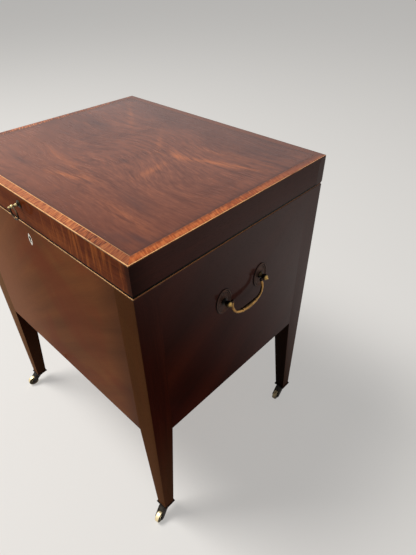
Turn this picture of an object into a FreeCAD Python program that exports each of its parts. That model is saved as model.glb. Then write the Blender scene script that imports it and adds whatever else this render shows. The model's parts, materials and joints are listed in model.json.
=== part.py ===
import FreeCAD, Part
import math
import os
from types import SimpleNamespace
import Sketcher

# Cellarette: a mahogany bottle box on four tapered legs with brass castors.
# Millimetres, +Z up, +X to the right of someone facing its front, -Y towards that person.
# The origin is on the floor, in the middle of everything that the piece covers.

# Driving dimensions
SIZES = {
    # The box as a whole
    "body_width": 536.0,
    "body_depth": 440.0,
    "castor_height": 38.0,
    "leg_drop": 248.0,
    "carcase_height": 330.0,
    "lid_gap": 0.8,
    "lid_height": 51.7,
    "origin_setback": 11.6,
    # Corner posts and carcase panels
    "post_square": 41.2,
    "foot_square": 23.2,
    "panel_thickness": 18.0,
    "tongue_length": 8.0,
    "tongue_thickness": 6.0,
    "tongue_stop": 20.0,
    "tongue_clearance": 0.2,
    "stop_bevel_angle": 47.5,
    "bottom_rise": 14.0,
    "bottom_thickness": 10.0,
    "bottom_clearance": 0.3,
    "batten_width": 12.0,
    # Boxwood lines and crossbanding
    "edge_line_square": 2.2,
    "crossband_width": 12.0,
    "inner_line_width": 1.0,
    "veneer_thickness": 1.5,
    # Bottle divisions
    "column_count": 4.0,
    "row_count": 3.0,
    "division_thickness": 8.0,
    "division_height": 190.0,
    "division_clearance": 0.3,
    "halving_clearance": 0.2,
    # Lid
    "lid_rail_thickness": 18.0,
    "lid_panel_thickness": 9.0,
    # Butt hinges
    "hinge_length": 60.0,
    "hinge_from_side": 120.0,
    "hinge_inset": 3.0,
    "leaf_width": 12.5,
    "leaf_thickness": 1.8,
    "knuckle_radius": 3.4,
    "knuckle_gap": 0.25,
    "hinge_pin_radius": 1.5,
    "barrel_clearance": 0.4,
    "leaf_screw_spacing": 20.0,
    "leaf_screw_setback": 8.2,
    "knuckle_count": 5.0,
    # Wood screws
    "screw_head_radius": 2.8,
    "screw_head_depth": 1.6,
    "screw_shank_radius": 1.4,
    "screw_length": 12.0,
    "screw_slot_width": 0.7,
    "screw_slot_depth": 0.6,
    "screw_clearance": 0.1,
    "slot_turn_step": 37.0,
    # Shaft fits
    "running_clearance": 0.08,
    "seat_clearance": 0.02,
    # Lock
    "lock_width": 64.0,
    "lock_height": 38.0,
    "lock_box_width": 46.0,
    "lock_box_height": 34.0,
    "lock_box_depth": 9.0,
    "lock_wall": 1.5,
    "lock_plate_thickness": 2.0,
    "lock_screw_inset": 4.5,
    "staple_offset": 10.0,
    "staple_width": 3.0,
    "staple_depth": 6.0,
    "staple_window": 3.8,
    "staple_slot_clearance": 0.5,
    "bolt_thickness": 3.0,
    "bolt_bar_height": 4.0,
    "bolt_bar_drop": 17.0,
    "bolt_hook_drop": 9.0,
    "bolt_hook_height": 4.0,
    "bolt_stem_width": 3.0,
    "bolt_tip_gap": 1.0,
    "bolt_overhang": 2.0,
    "bolt_clearance": 0.3,
    "link_plate_thickness": 2.0,
    "link_plate_depth": 11.0,
    "link_screw_inset": 6.0,
    # Keyhole and bone escutcheon
    "escutcheon_drop": 29.0,
    "escutcheon_height": 24.5,
    "escutcheon_width": 11.0,
    "escutcheon_thickness": 1.5,
    "keyhole_rise": 2.6,
    "keyhole_radius": 2.3,
    "keyhole_slot_width": 2.2,
    "keyhole_slot_length": 7.5,
    "drill_pin_radius": 1.1,
    "drill_pin_length": 6.0,
    # Ring pull on the lid
    "pull_drop": 16.5,
    "pull_stand": 11.5,
    "pull_eye_radius": 3.4,
    "pull_eye_bore": 1.75,
    "pull_neck_radius": 1.9,
    "pull_bead_radius": 2.9,
    "pull_bead_stand": 4.6,
    "pull_rosette_radius": 6.2,
    "pull_rosette_thickness": 1.4,
    "pull_dome_radius": 5.0,
    "pull_tip_radius": 1.9,
    "pull_tip_neck_radius": 1.15,
    "pull_tip_stand": 16.4,
    "pull_shank_radius": 2.0,
    "pull_nut_radius": 4.5,
    "pull_nut_thickness": 3.0,
    "ring_radius": 11.0,
    "ring_wire_radius": 1.3,
    "ring_top_offset": 0.27,
    # Carrying handles
    "handle_drop": 114.0,
    "handle_spacing": 96.0,
    "backplate_width": 35.0,
    "backplate_height": 53.0,
    "backplate_thickness": 2.0,
    "backplate_rim": 3.0,
    "backplate_recess": 0.7,
    "knob_stand": 11.5,
    "knob_radius": 5.9,
    "knob_neck_radius": 3.2,
    "knob_neck_base_radius": 4.8,
    "knob_neck_length": 4.4,
    "knob_tip_radius": 1.8,
    "knob_flange_radius": 6.4,
    "knob_flange_thickness": 1.6,
    "handle_shank_radius": 2.6,
    "handle_nut_square": 12.0,
    "handle_nut_thickness": 4.0,
    "bail_half_span": 38.2,
    "bail_drop": 32.0,
    "bail_bow": 1.6,
    "bail_lean_angle": 10.0,
    "bail_arm_radius": 2.7,
    "bail_grip_radius": 5.0,
    "bail_eye_radius": 3.1,
    "bail_tang_radius": 1.9,
    "bail_tang_depth": 1.0,
    # Castors
    "wheel_radius": 12.5,
    "wheel_tread_width": 9.0,
    "wheel_hub_width": 9.8,
    "wheel_hub_radius": 5.0,
    "wheel_tread_chamfer": 0.8,
    "wheel_trail": 24.0,
    "fork_side_clearance": 0.3,
    "fork_arm_thickness": 3.0,
    "fork_eye_radius": 5.0,
    "fork_wheel_clearance": 1.1,
    "fork_crown_reach": 14.9,
    "fork_crown_fall": 3.6,
    "fork_belly_reach": 2.4,
    "fork_eye_angle": 60.0,
    "castor_plate_square": 27.0,
    "castor_plate_thickness": 2.5,
    "castor_plate_gap": 0.3,
    "castor_screw_offset": 8.6,
    "swivel_boss_radius": 7.5,
    "swivel_boss_height": 4.0,
    "swivel_pin_radius": 2.5,
    "swivel_head_radius": 4.0,
    "swivel_head_thickness": 1.5,
    "swivel_head_clearance": 0.25,
    "swivel_well_clearance": 0.4,
    "axle_radius": 1.75,
    "axle_end_length": 0.6,
    "turn_front_left": -11.0,
    "turn_front_right": 11.0,
    "turn_back_left": -7.0,
    "turn_back_right": 3.0,
}


class Length:
    """A size as a number, together with the sheet formula that yields it."""

    def __init__(self, value, text):
        self.value = value
        self.text = text

    def __add__(self, other):
        other = as_length(other)
        return Length(self.value + other.value, f"({self.text} + {other.text})")

    def __sub__(self, other):
        other = as_length(other)
        return Length(self.value - other.value, f"({self.text} - {other.text})")

    def __mul__(self, other):
        other = as_length(other)
        return Length(self.value * other.value, f"({self.text} * {other.text})")

    def __truediv__(self, other):
        other = as_length(other)
        return Length(self.value / other.value, f"({self.text} / {other.text})")

    def __radd__(self, other):
        return as_length(other) + self

    def __rsub__(self, other):
        return as_length(other) - self

    def __rmul__(self, other):
        return as_length(other) * self

    def __neg__(self):
        return Length(-self.value, f"(0 - {self.text})")


def as_length(item):
    """Give plain numbers the same form as sheet sizes."""
    if isinstance(item, Length):
        return item
    return Length(float(item), repr(float(item)) if item >= 0 else f"(0 - {repr(abs(float(item)))})")


def sine(angle):
    """Sine of a size that holds degrees."""
    return Length(math.sin(math.radians(angle.value)), f"sin({angle.text} * 1 deg)")


def cosine(angle):
    """Cosine of a size that holds degrees."""
    return Length(math.cos(math.radians(angle.value)), f"cos({angle.text} * 1 deg)")


def tangent(angle):
    """Tangent of a size that holds degrees."""
    return Length(math.tan(math.radians(angle.value)), f"tan({angle.text} * 1 deg)")


doc = FreeCAD.newDocument("cellarette")
sheet = doc.addObject("Spreadsheet::Sheet", "Sizes")
for row, (alias, number) in enumerate(SIZES.items(), start=1):
    sheet.set(f"A{row}", alias)
    sheet.set(f"B{row}", str(number))
    sheet.setAlias(f"B{row}", alias)
doc.recompute()
size = SimpleNamespace(**{alias: Length(number, f"Sizes.{alias}") for alias, number in SIZES.items()})

# Levels above the floor and half extents that many pieces share
centre_y = size.origin_setback
half_width = size.body_width / 2
half_depth = size.body_depth / 2
carcase_bottom = size.castor_height + size.leg_drop
carcase_top = carcase_bottom + size.carcase_height
lid_bottom = carcase_top + size.lid_gap
lid_top = lid_bottom + size.lid_height
panel_underside = lid_top - size.lid_panel_thickness
veneer_bed = lid_top - size.veneer_thickness
edge_line_bed = lid_top - size.edge_line_square
band_inner_edge = size.edge_line_square + size.crossband_width
field_edge = band_inner_edge + size.inner_line_width
bottom_underside = carcase_bottom + size.bottom_rise
bottom_top = bottom_underside + size.bottom_thickness
hinge_axis_y = half_depth - size.hinge_inset
hinge_axis_z = carcase_top + size.lid_gap / 2
bevel_drop = size.hinge_inset * tangent(size.stop_bevel_angle)
handle_level = carcase_top - size.handle_drop
pull_level = lid_top - size.pull_drop
foot_inset = size.foot_square / 2

Z_AXIS = FreeCAD.Vector(0, 0, 1)
SIDE_TURNS = {"front": 0.0, "right": 90.0, "back": 180.0, "left": -90.0}
SIDES = ("left", "right")
sub_parts = []


def bind(thing, path, length):
    """Tie one property of an object to its sheet formula."""
    thing.setExpression(path, as_length(length).text)


def place(thing, x=0.0, y=0.0, z=0.0, rotation=None):
    """Give an object its placement, with each coordinate tied to the sheet."""
    point = [as_length(item) for item in (x, y, z)]
    base = FreeCAD.Vector(*[item.value for item in point])
    thing.Placement = FreeCAD.Placement(base, rotation or FreeCAD.Rotation())
    for letter, item in zip("xyz", point):
        bind(thing, f"Placement.Base.{letter}", item)


def place_on_side(thing, side):
    """Stand a piece, drawn with its outer face at y = 0, on one side of the box."""
    x = {"right": half_width, "left": -half_width}.get(side, as_length(0))
    y = {"front": centre_y - half_depth, "back": centre_y + half_depth}.get(side, centre_y)
    place(thing, x, y, 0, FreeCAD.Rotation(Z_AXIS, SIDE_TURNS[side]))


def keep(thing):
    """List an object as one of the finished sub-parts."""
    sub_parts.append(thing)
    return thing


def group(label, members):
    """Gather separate like pieces into one sub-part."""
    bundle = doc.addObject("Part::Compound", label)
    bundle.Label = label
    bundle.Links = members
    return keep(bundle)


class Piece:
    """One solid piece, drawn as sketches and features in a body of its own."""

    def __init__(self, label):
        self.body = doc.addObject("PartDesign::Body", label)
        self.body.Label = label

    def sketch(self, role, offset):
        """Start a sketch on one of the body's own origin planes, moved along its normal."""
        plane = next(item for item in self.body.Origin.OriginFeatures if item.Role == role)
        drawing = self.body.newObject("Sketcher::SketchObject", "Outline")
        drawing.AttachmentSupport = (plane, [""])
        drawing.MapMode = "FlatFace"
        bind(drawing, "AttachmentOffset.Base.z", offset)
        return drawing

    def feature(self, kind, drawing, length, backwards=False):
        """Pad or pocket a sketch to a given length."""
        solid = self.body.newObject(f"PartDesign::{kind}", kind)
        solid.Profile = drawing
        solid.Reversed = backwards
        bind(solid, "Length", length)
        drawing.Visibility = False
        return solid

    def upright(self, kind, outline, low, high):
        """Add or cut a prism that stands on an outline in the XY plane."""
        low, high = as_length(low), as_length(high)
        drawing = self.sketch("XY_Plane", low if kind == "Pad" else high)
        outline(drawing)
        return self.feature(kind, drawing, high - low)

    def deep(self, kind, outline, near, far):
        """Add or cut a prism that runs back along Y from an outline in the XZ plane."""
        near, far = as_length(near), as_length(far)
        drawing = self.sketch("XZ_Plane", -near)
        outline(drawing)
        return self.feature(kind, drawing, far - near, backwards=(kind == "Pad"))

    def across(self, kind, outline, low, high):
        """Add or cut a prism that runs along X from an outline in the YZ plane."""
        low, high = as_length(low), as_length(high)
        drawing = self.sketch("YZ_Plane", low if kind == "Pad" else high)
        outline(drawing)
        return self.feature(kind, drawing, high - low)

    def countersink(self, x, y, z, rotation, depth):
        """Cut a screw hole: its countersunk mouth is at the point, and its axis runs along +Z turned."""
        bore = size.screw_shank_radius + size.screw_clearance
        cone = self.body.newObject("PartDesign::SubtractiveCone", "Countersink")
        bind(cone, "Radius1", size.screw_head_radius + size.screw_clearance)
        bind(cone, "Radius2", bore)
        bind(cone, "Height", size.screw_head_depth)
        place(cone, x, y, z, rotation)
        shaft = self.body.newObject("PartDesign::SubtractiveCylinder", "ScrewHole")
        bind(shaft, "Radius", bore)
        bind(shaft, "Height", depth)
        place(shaft, x, y, z, rotation)

    def bore(self, x, y, z, rotation, radius, depth):
        """Cut a round hole from a point, along +Z turned."""
        hole = self.body.newObject("PartDesign::SubtractiveCylinder", "Bore")
        bind(hole, "Radius", radius)
        bind(hole, "Height", depth)
        place(hole, x, y, z, rotation)


def pin_point(drawing, index, position, point):
    """Hold one point of a sketch at its coordinates."""
    for kind, coordinate in zip(("DistanceX", "DistanceY"), point):
        constraint = Sketcher.Constraint(kind, -1, 1, index, position, coordinate.value)
        number = drawing.addConstraint(constraint)
        bind(drawing, f"Constraints[{number}]", coordinate)


def polygon(*points):
    """Outline through the given points."""
    points = [(as_length(u), as_length(v)) for u, v in points]

    def draw(drawing):
        first = drawing.GeometryCount
        corners = [FreeCAD.Vector(u.value, v.value, 0) for u, v in points]
        for start, end in zip(corners, corners[1:] + corners[:1]):
            drawing.addGeometry(Part.LineSegment(start, end))
        for step in range(len(points)):
            follower = (step + 1) % len(points)
            joint = Sketcher.Constraint("Coincident", first + step, 2, first + follower, 1)
            drawing.addConstraint(joint)
        for step, point in enumerate(points):
            pin_point(drawing, first + step, 1, point)

    return draw


def rectangle(left, low, right, high):
    """Outline of a rectangle with sides along the sketch axes."""
    return polygon((left, low), (right, low), (right, high), (left, high))


def circle(u, v, radius):
    """Outline of a circle."""
    u, v, radius = as_length(u), as_length(v), as_length(radius)

    def draw(drawing):
        centre = FreeCAD.Vector(u.value, v.value, 0)
        index = drawing.addGeometry(Part.Circle(centre, FreeCAD.Vector(0, 0, 1), radius.value))
        number = drawing.addConstraint(Sketcher.Constraint("Radius", index, radius.value))
        bind(drawing, f"Constraints[{number}]", radius)
        pin_point(drawing, index, 3, (u, v))

    return draw


def solid(kind, name, x=0.0, y=0.0, z=0.0, rotation=None, **lengths):
    """A simple solid whose lengths and place are tied to the sheet."""
    thing = doc.addObject(f"Part::{kind}", name)
    for path, length in lengths.items():
        bind(thing, path, length)
    place(thing, x, y, z, rotation)
    return thing


def fuse(label, members):
    """Join overlapping solids into one."""
    joined = doc.addObject("Part::MultiFuse", label)
    joined.Shapes = members
    joined.Refine = False
    return joined


def cut(label, base, tool):
    """Take one solid away from another."""
    remainder = doc.addObject("Part::Cut", label)
    remainder.Base = base
    remainder.Tool = tool
    remainder.Refine = False
    return remainder


UPWARD = FreeCAD.Rotation()
DOWNWARD = FreeCAD.Rotation(FreeCAD.Vector(1, 0, 0), 180)
TO_FRONT = FreeCAD.Rotation(FreeCAD.Vector(1, 0, 0), 90)
TO_BACK = FreeCAD.Rotation(FreeCAD.Vector(1, 0, 0), -90)
TO_RIGHT = FreeCAD.Rotation(FreeCAD.Vector(0, 1, 0), 90)


def wood_screw():
    """One slotted countersunk screw, its head's top at the origin and its point towards +Z."""
    head = Part.makeCone(
        size.screw_head_radius.value,
        size.screw_shank_radius.value,
        size.screw_head_depth.value,
    )
    shank_length = size.screw_length.value - size.screw_head_depth.value - size.screw_shank_radius.value
    shank = Part.makeCylinder(
        size.screw_shank_radius.value,
        shank_length,
        FreeCAD.Vector(0, 0, size.screw_head_depth.value),
    )
    point = Part.makeCone(
        size.screw_shank_radius.value,
        0,
        size.screw_shank_radius.value,
        FreeCAD.Vector(0, 0, size.screw_head_depth.value + shank_length),
    )
    slot_reach = size.screw_head_radius.value + size.screw_clearance.value
    slot = Part.makeBox(
        slot_reach * 2,
        size.screw_slot_width.value,
        size.screw_slot_depth.value,
        FreeCAD.Vector(-slot_reach, -size.screw_slot_width.value / 2, 0),
    )
    return head.fuse([shank, point]).cut(slot)


def screw_set(label, points, rotation):
    """Like screws at several points, all driven the same way, each with its slot turned differently."""
    screws = []
    for step, point in enumerate(points):
        screw = wood_screw()
        slot_turn = FreeCAD.Rotation(Z_AXIS, size.slot_turn_step.value * step)
        place_of_screw = FreeCAD.Vector(*[as_length(item).value for item in point])
        screw.Placement = FreeCAD.Placement(place_of_screw, rotation.multiply(slot_turn))
        screws.append(screw)
    feature = doc.addObject("Part::Feature", label)
    feature.Label = label
    feature.Shape = Part.makeCompound(screws)
    return keep(feature)


# Corner posts that run on down as tapered legs
groove_half = size.tongue_thickness / 2 + size.tongue_clearance / 2
groove_bottom = size.post_square - size.tongue_length - size.tongue_clearance
tongue_top = carcase_top - size.tongue_stop
CORNERS = {
    "front_left": (-1, -1, 0.0, "xy", ""),
    "front_right": (1, -1, 90.0, "xy", ""),
    "back_right": (1, 1, 180.0, "x", "y"),
    "back_left": (-1, 1, -90.0, "y", "x"),
}


def swap(points, face):
    """Turn an outline about the post's diagonal for the other outer face."""
    if face == "y":
        return points
    return [(v, u) for u, v in points]


def corner_post(name):
    """One post: square beside the carcase, then tapered on its two inner faces down to the foot."""
    side_x, side_y, turn, lined_faces, bevelled_face = CORNERS[name]
    piece = Piece(f"leg_{name}")
    square = size.post_square
    piece.upright("Pad", rectangle(0, 0, square, square), carcase_bottom, carcase_top)
    shoulder = piece.sketch("XY_Plane", carcase_bottom)
    rectangle(0, 0, square, square)(shoulder)
    foot = piece.sketch("XY_Plane", size.castor_height)
    rectangle(0, 0, size.foot_square, size.foot_square)(foot)
    taper = piece.body.newObject("PartDesign::AdditiveLoft", "Taper")
    taper.Profile = shoulder
    taper.Sections = [foot]
    middle = size.panel_thickness / 2
    for face in "xy":
        groove = [
            (groove_bottom, middle - groove_half),
            (square, middle - groove_half),
            (square, middle + groove_half),
            (groove_bottom, middle + groove_half),
        ]
        piece.upright("Pocket", polygon(*swap(groove, face)), carcase_bottom, tongue_top)
    line = size.edge_line_square
    for face in lined_faces:
        rebate = [(0, 0), (square, 0), (square, line), (0, line)]
        piece.upright("Pocket", polygon(*swap(rebate, face)), carcase_top - line, carcase_top)
    inset = size.hinge_inset
    bevel = polygon((0, carcase_top - bevel_drop), (0, carcase_top), (inset, carcase_top))
    if bevelled_face == "y":
        piece.across("Pocket", bevel, 0, square)
    if bevelled_face == "x":
        piece.deep("Pocket", bevel, 0, square)
    piece.bore(foot_inset, foot_inset, size.castor_height, UPWARD,
               size.swivel_head_radius + size.swivel_well_clearance,
               size.swivel_head_thickness + size.swivel_head_clearance * 2)
    for step_x in (-1, 1):
        for step_y in (-1, 1):
            piece.bore(foot_inset + step_x * size.castor_screw_offset,
                       foot_inset + step_y * size.castor_screw_offset,
                       size.castor_height, UPWARD,
                       size.screw_shank_radius + size.screw_clearance, size.screw_length)
    rotation = FreeCAD.Rotation(Z_AXIS, turn)
    place(piece.body, half_width * side_x, centre_y + half_depth * side_y, 0, rotation)
    return keep(piece.body)


for corner in CORNERS:
    corner_post(corner)

# Carcase panels between the posts
lock_screw_x = size.lock_width / 2 - size.lock_screw_inset
lock_top = carcase_top - size.lock_plate_thickness
lock_cap_face = size.panel_thickness - size.lock_plate_thickness
lock_box_face = lock_cap_face - size.lock_box_depth
escutcheon_level = carcase_top - size.escutcheon_drop
keyhole_level = escutcheon_level + size.keyhole_rise
lock_screw_levels = (
    lock_top - size.lock_screw_inset,
    lock_top - size.lock_height + size.lock_screw_inset,
)


def cut_keyhole(piece, near, far):
    """Cut a keyhole: a round hole with a slot below it."""
    piece.deep("Pocket", circle(0, keyhole_level, size.keyhole_radius), near, far)
    slot_half = size.keyhole_slot_width / 2
    slot = rectangle(-slot_half, keyhole_level - size.keyhole_slot_length, slot_half, keyhole_level)
    piece.deep("Pocket", slot, near, far)


def panel(side):
    """One panel with a tongue at each end and, but for the back, a rebate for its boxwood line."""
    along = half_width if side in ("front", "back") else half_depth
    half_run = along - size.post_square
    piece = Piece(f"{side}_panel")
    thickness = size.panel_thickness
    piece.upright("Pad", rectangle(-half_run, 0, half_run, thickness), carcase_bottom, carcase_top)
    tongue_reach = half_run + size.tongue_length
    tongue_near = (thickness - size.tongue_thickness) / 2
    tongue_far = tongue_near + size.tongue_thickness
    tongue = rectangle(-tongue_reach, tongue_near, tongue_reach, tongue_far)
    piece.upright("Pad", tongue, carcase_bottom, tongue_top)
    line = size.edge_line_square
    if side == "back":
        bevel = polygon((0, carcase_top - bevel_drop), (0, carcase_top), (size.hinge_inset, carcase_top))
        piece.across("Pocket", bevel, -half_run, half_run)
    else:
        piece.upright("Pocket", rectangle(-half_run, 0, half_run, line), carcase_top - line, carcase_top)
    place_on_side(piece.body, side)
    keep(piece.body)
    return piece


def fit_hinge_seats(piece, rim, inward, margin):
    """Let a hinge leaf and its barrel into a rim, on a piece drawn with its back face at y = 0."""
    for side in (-1, 1):
        middle = side * (half_width - size.hinge_from_side)
        low = middle - size.hinge_length / 2 - margin
        high = middle + size.hinge_length / 2 + margin
        leaf_far = size.hinge_inset + size.leaf_width + margin
        seat = rectangle(low, 0, high, leaf_far)
        floor = rim + inward * size.leaf_thickness
        piece.upright("Pocket", seat, *sorted((rim, floor), key=lambda level: level.value))
        barrel = size.knuckle_radius + size.barrel_clearance
        piece.across("Pocket", circle(size.hinge_inset, hinge_axis_z, barrel), low, high)
        for step in (-1, 0, 1):
            place_of_bore = middle + step * size.leaf_screw_spacing
            piece.bore(place_of_bore, size.hinge_inset + size.leaf_screw_setback, rim,
                       UPWARD if inward > 0 else DOWNWARD,
                       size.screw_shank_radius + size.screw_clearance, size.screw_length)


front = panel("front")
front.upright("Pocket", rectangle(-size.lock_width / 2, lock_cap_face, size.lock_width / 2,
                                  size.panel_thickness), lock_top - size.lock_height, lock_top)
front.upright("Pocket", rectangle(-size.lock_box_width / 2, lock_box_face, size.lock_box_width / 2,
                                  size.panel_thickness), lock_top - size.lock_box_height, lock_top)
front.upright("Pocket", rectangle(-size.lock_width / 2, lock_box_face, size.lock_width / 2,
                                  size.panel_thickness), lock_top, carcase_top)
cut_keyhole(front, 0, lock_box_face)
for level in lock_screw_levels:
    for end in (-1, 1):
        front.bore(end * lock_screw_x, size.panel_thickness, level, TO_FRONT,
                   size.screw_shank_radius + size.screw_clearance,
                   size.screw_length)

back = panel("back")
fit_hinge_seats(back, carcase_top, -1, size.seat_clearance)

for side in SIDES:
    side_panel = panel(side)
    for end in (-1, 1):
        side_panel.deep("Pocket", circle(end * size.handle_spacing / 2, handle_level,
                                         size.handle_shank_radius + size.seat_clearance),
                        0, size.panel_thickness)

# Pointed oval bone escutcheon, let into the front panel
oval_half_height = size.escutcheon_height / 2
oval_half_width = size.escutcheon_width / 2
oval_squares = oval_half_width * oval_half_width + oval_half_height * oval_half_height
oval_radius = oval_squares / size.escutcheon_width


def pointed_oval(name, y, thickness):
    """The shape shared by two cylinders that overlap, standing on the XZ plane."""
    arcs = []
    for end in (-1, 1):
        arcs.append(solid("Cylinder", f"{name}_arc", end * (oval_radius - oval_half_width), y,
                          escutcheon_level, TO_BACK, Radius=oval_radius, Height=thickness))
    oval = doc.addObject("Part::MultiCommon", name)
    oval.Shapes = arcs
    return oval


def keyhole_tool(name):
    """The keyhole's shape as a solid, for the escutcheon."""
    front_face = centre_y - half_depth - size.panel_thickness
    through = size.panel_thickness * 2
    round_part = solid("Cylinder", f"{name}_round", 0, front_face, keyhole_level, TO_BACK,
                       Radius=size.keyhole_radius, Height=through)
    slot_part = solid("Box", f"{name}_slot", -size.keyhole_slot_width / 2, front_face,
                      keyhole_level - size.keyhole_slot_length, Length=size.keyhole_slot_width,
                      Width=through, Height=size.keyhole_slot_length)
    return fuse(name, [round_part, slot_part])


oval_blank = pointed_oval("escutcheon_blank", centre_y - half_depth, size.escutcheon_thickness)
escutcheon = cut("escutcheon", oval_blank, keyhole_tool("escutcheon_keyhole"))
keep(escutcheon)
oval_seat = pointed_oval("escutcheon_seat", centre_y - half_depth, size.escutcheon_thickness)
front_with_seat = cut("front_panel_inlaid", front.body, oval_seat)
sub_parts[sub_parts.index(front.body)] = front_with_seat
front.body.Label = "front_panel_board"
front_with_seat.Label = "front_panel"

# Bottom board on battens
inside_x = half_width - size.panel_thickness
inside_y = half_depth - size.panel_thickness
board_x = inside_x - size.bottom_clearance
board_y = inside_y - size.bottom_clearance
notch_x = half_width - size.post_square - size.bottom_clearance
notch_y = half_depth - size.post_square - size.bottom_clearance
bottom = Piece("bottom_board")
bottom.upright("Pad", polygon(
    (-notch_x, -board_y), (notch_x, -board_y), (notch_x, -notch_y), (board_x, -notch_y),
    (board_x, notch_y), (notch_x, notch_y), (notch_x, board_y), (-notch_x, board_y),
    (-notch_x, notch_y), (-board_x, notch_y), (-board_x, -notch_y), (-notch_x, -notch_y),
), bottom_underside, bottom_top)
place(bottom.body, 0, centre_y)
keep(bottom.body)


def batten(side):
    """A square batten glued along the foot of one panel, under the bottom board."""
    along = half_width if side in ("front", "back") else half_depth
    half_run = along - size.post_square - size.bottom_clearance
    near = size.panel_thickness
    far = near + size.batten_width
    piece = Piece(f"{side}_batten")
    piece.upright("Pad", rectangle(-half_run, near, half_run, far),
                  bottom_underside - size.batten_width, bottom_underside)
    place_on_side(piece.body, side)
    return piece.body


group("bottom_battens", [batten(side) for side in SIDE_TURNS])


# Removable bottle divisions, halved together
def division_positions(count, inside):
    """Middles of the boards that part a clear width into equal compartments."""
    compartment = (inside * 2 - (count - 1) * size.division_thickness) / count
    pitch = compartment + size.division_thickness
    return [step * pitch - inside - size.division_thickness / 2 for step in range(1, int(count.value))]


row_places = division_positions(size.row_count, inside_y)
column_places = division_positions(size.column_count, inside_x)
division_half = size.division_thickness / 2
halving_half = division_half + size.halving_clearance
halving_level = bottom_top + size.division_height / 2
division_top = bottom_top + size.division_height

long_divisions = []
for number, y in enumerate(row_places, start=1):
    board = Piece(f"long_division_{number}")
    reach = inside_x - size.division_clearance
    board.upright("Pad", rectangle(-reach, -division_half, reach, division_half), bottom_top, division_top)
    for x in column_places:
        board.upright("Pocket", rectangle(x - halving_half, -size.division_thickness,
                                          x + halving_half, size.division_thickness),
                      halving_level - size.halving_clearance, division_top)
    place(board.body, 0, centre_y + y)
    long_divisions.append(board.body)
group("long_divisions", long_divisions)

cross_divisions = []
for number, x in enumerate(column_places, start=1):
    board = Piece(f"cross_division_{number}")
    reach = inside_y - size.division_clearance
    board.upright("Pad", rectangle(-division_half, -reach, division_half, reach), bottom_top, division_top)
    for y in row_places:
        board.upright("Pocket", rectangle(-size.division_thickness, y - halving_half,
                                          size.division_thickness, y + halving_half),
                      bottom_top, halving_level)
    place(board.body, x, centre_y)
    cross_divisions.append(board.body)
group("cross_divisions", cross_divisions)


# Mitred strips: the carcase's boxwood line, and the lid's line, crossbanding and inner line
def strip_outline(half_run, outer, inner, mitred_left=True, mitred_right=True, square_end=None):
    """Plan of a strip along y from outer to inner, mitred at the named ends."""
    end = half_run if square_end is None else square_end
    left_outer = -(half_run - outer) if mitred_left else -end
    left_inner = -(half_run - inner) if mitred_left else -end
    right_outer = half_run - outer if mitred_right else end
    right_inner = half_run - inner if mitred_right else end
    return polygon((left_outer, outer), (right_outer, outer), (right_inner, inner), (left_inner, inner))


def half_run_of(side):
    """Half the length of one outer edge of the box."""
    return half_width if side in ("front", "back") else half_depth


def carcase_line(side):
    """A boxwood line let into the carcase's top edge; the side lines stop at the back bevel."""
    piece = Piece(f"{side}_carcase_line")
    line = size.edge_line_square
    stop = half_depth - size.hinge_inset
    outline = strip_outline(half_run_of(side), 0, line)
    if side == "right":
        outline = strip_outline(half_depth, 0, line, mitred_right=False, square_end=stop)
    if side == "left":
        outline = strip_outline(half_depth, 0, line, mitred_left=False, square_end=stop)
    piece.upright("Pad", outline, carcase_top - line, carcase_top)
    place_on_side(piece.body, side)
    return piece.body


group("carcase_edge_lines", [carcase_line(side) for side in ("front", "left", "right")])


def lid_strip(label, side, outer, inner, low):
    """One mitred strip laid in the lid's top."""
    piece = Piece(label)
    piece.upright("Pad", strip_outline(half_run_of(side), outer, inner), low, lid_top)
    place_on_side(piece.body, side)
    return piece.body


group("lid_edge_lines", [
    lid_strip(f"{side}_edge_line", side, as_length(0), size.edge_line_square, edge_line_bed)
    for side in SIDE_TURNS
])
group("lid_crossbanding", [
    lid_strip(f"{side}_crossband", side, size.edge_line_square, band_inner_edge, veneer_bed)
    for side in SIDE_TURNS
])
group("lid_inner_lines", [
    lid_strip(f"{side}_inner_line", side, band_inner_edge, field_edge, veneer_bed)
    for side in SIDE_TURNS
])

# Lid panel and its four rails
lid_panel = Piece("lid_panel")
field_x = half_width - field_edge
field_y = half_depth - field_edge
lid_panel.upright("Pad", rectangle(-field_x, -field_y, field_x, field_y), panel_underside, lid_top)
place(lid_panel.body, 0, centre_y)
keep(lid_panel.body)


def lid_rail(side):
    """A rail with a step for the panel, a bed for the crossbanding and a rebate for the edge line."""
    piece = Piece(f"lid_{side}_rail")
    half_run = half_run_of(side)
    steps = (
        (as_length(0), size.lid_rail_thickness, lid_bottom, panel_underside),
        (as_length(0), field_edge, panel_underside, edge_line_bed),
        (size.edge_line_square, field_edge, edge_line_bed, veneer_bed),
    )
    for outer, inner, low, high in steps:
        if side == "front":
            outline = strip_outline(half_run, outer, inner)
        elif side == "back":
            outline = rectangle(-(half_run - outer), outer, half_run - outer, inner)
        else:
            outline = strip_outline(half_run, outer, inner, mitred_left=(side == "right"),
                                    mitred_right=(side == "left"), square_end=half_run - inner)
        piece.upright("Pad", outline, low, high)
    place_on_side(piece.body, side)
    keep(piece.body)
    return piece


lid_front = lid_rail("front")
lid_back = lid_rail("back")
for side in SIDES:
    lid_rail(side)
lid_bevel = polygon((0, lid_bottom), (size.hinge_inset, lid_bottom), (0, lid_bottom + bevel_drop))
lid_back.across("Pocket", lid_bevel, -half_width, half_width)
fit_hinge_seats(lid_back, lid_bottom, 1, size.seat_clearance)

# Lock: case with its top plate, cap, sliding bolt, and the link plate on the lid
bolt_near = lock_box_face + (size.lock_box_depth + size.lock_wall - size.bolt_thickness) / 2
bolt_middle = bolt_near + size.bolt_thickness / 2
bar_top = carcase_top - size.bolt_bar_drop
bar_bottom = bar_top - size.bolt_bar_height
hook_top = carcase_top - size.bolt_hook_drop
hook_bottom = hook_top - size.bolt_hook_height
staple_half = size.staple_width / 2

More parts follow.
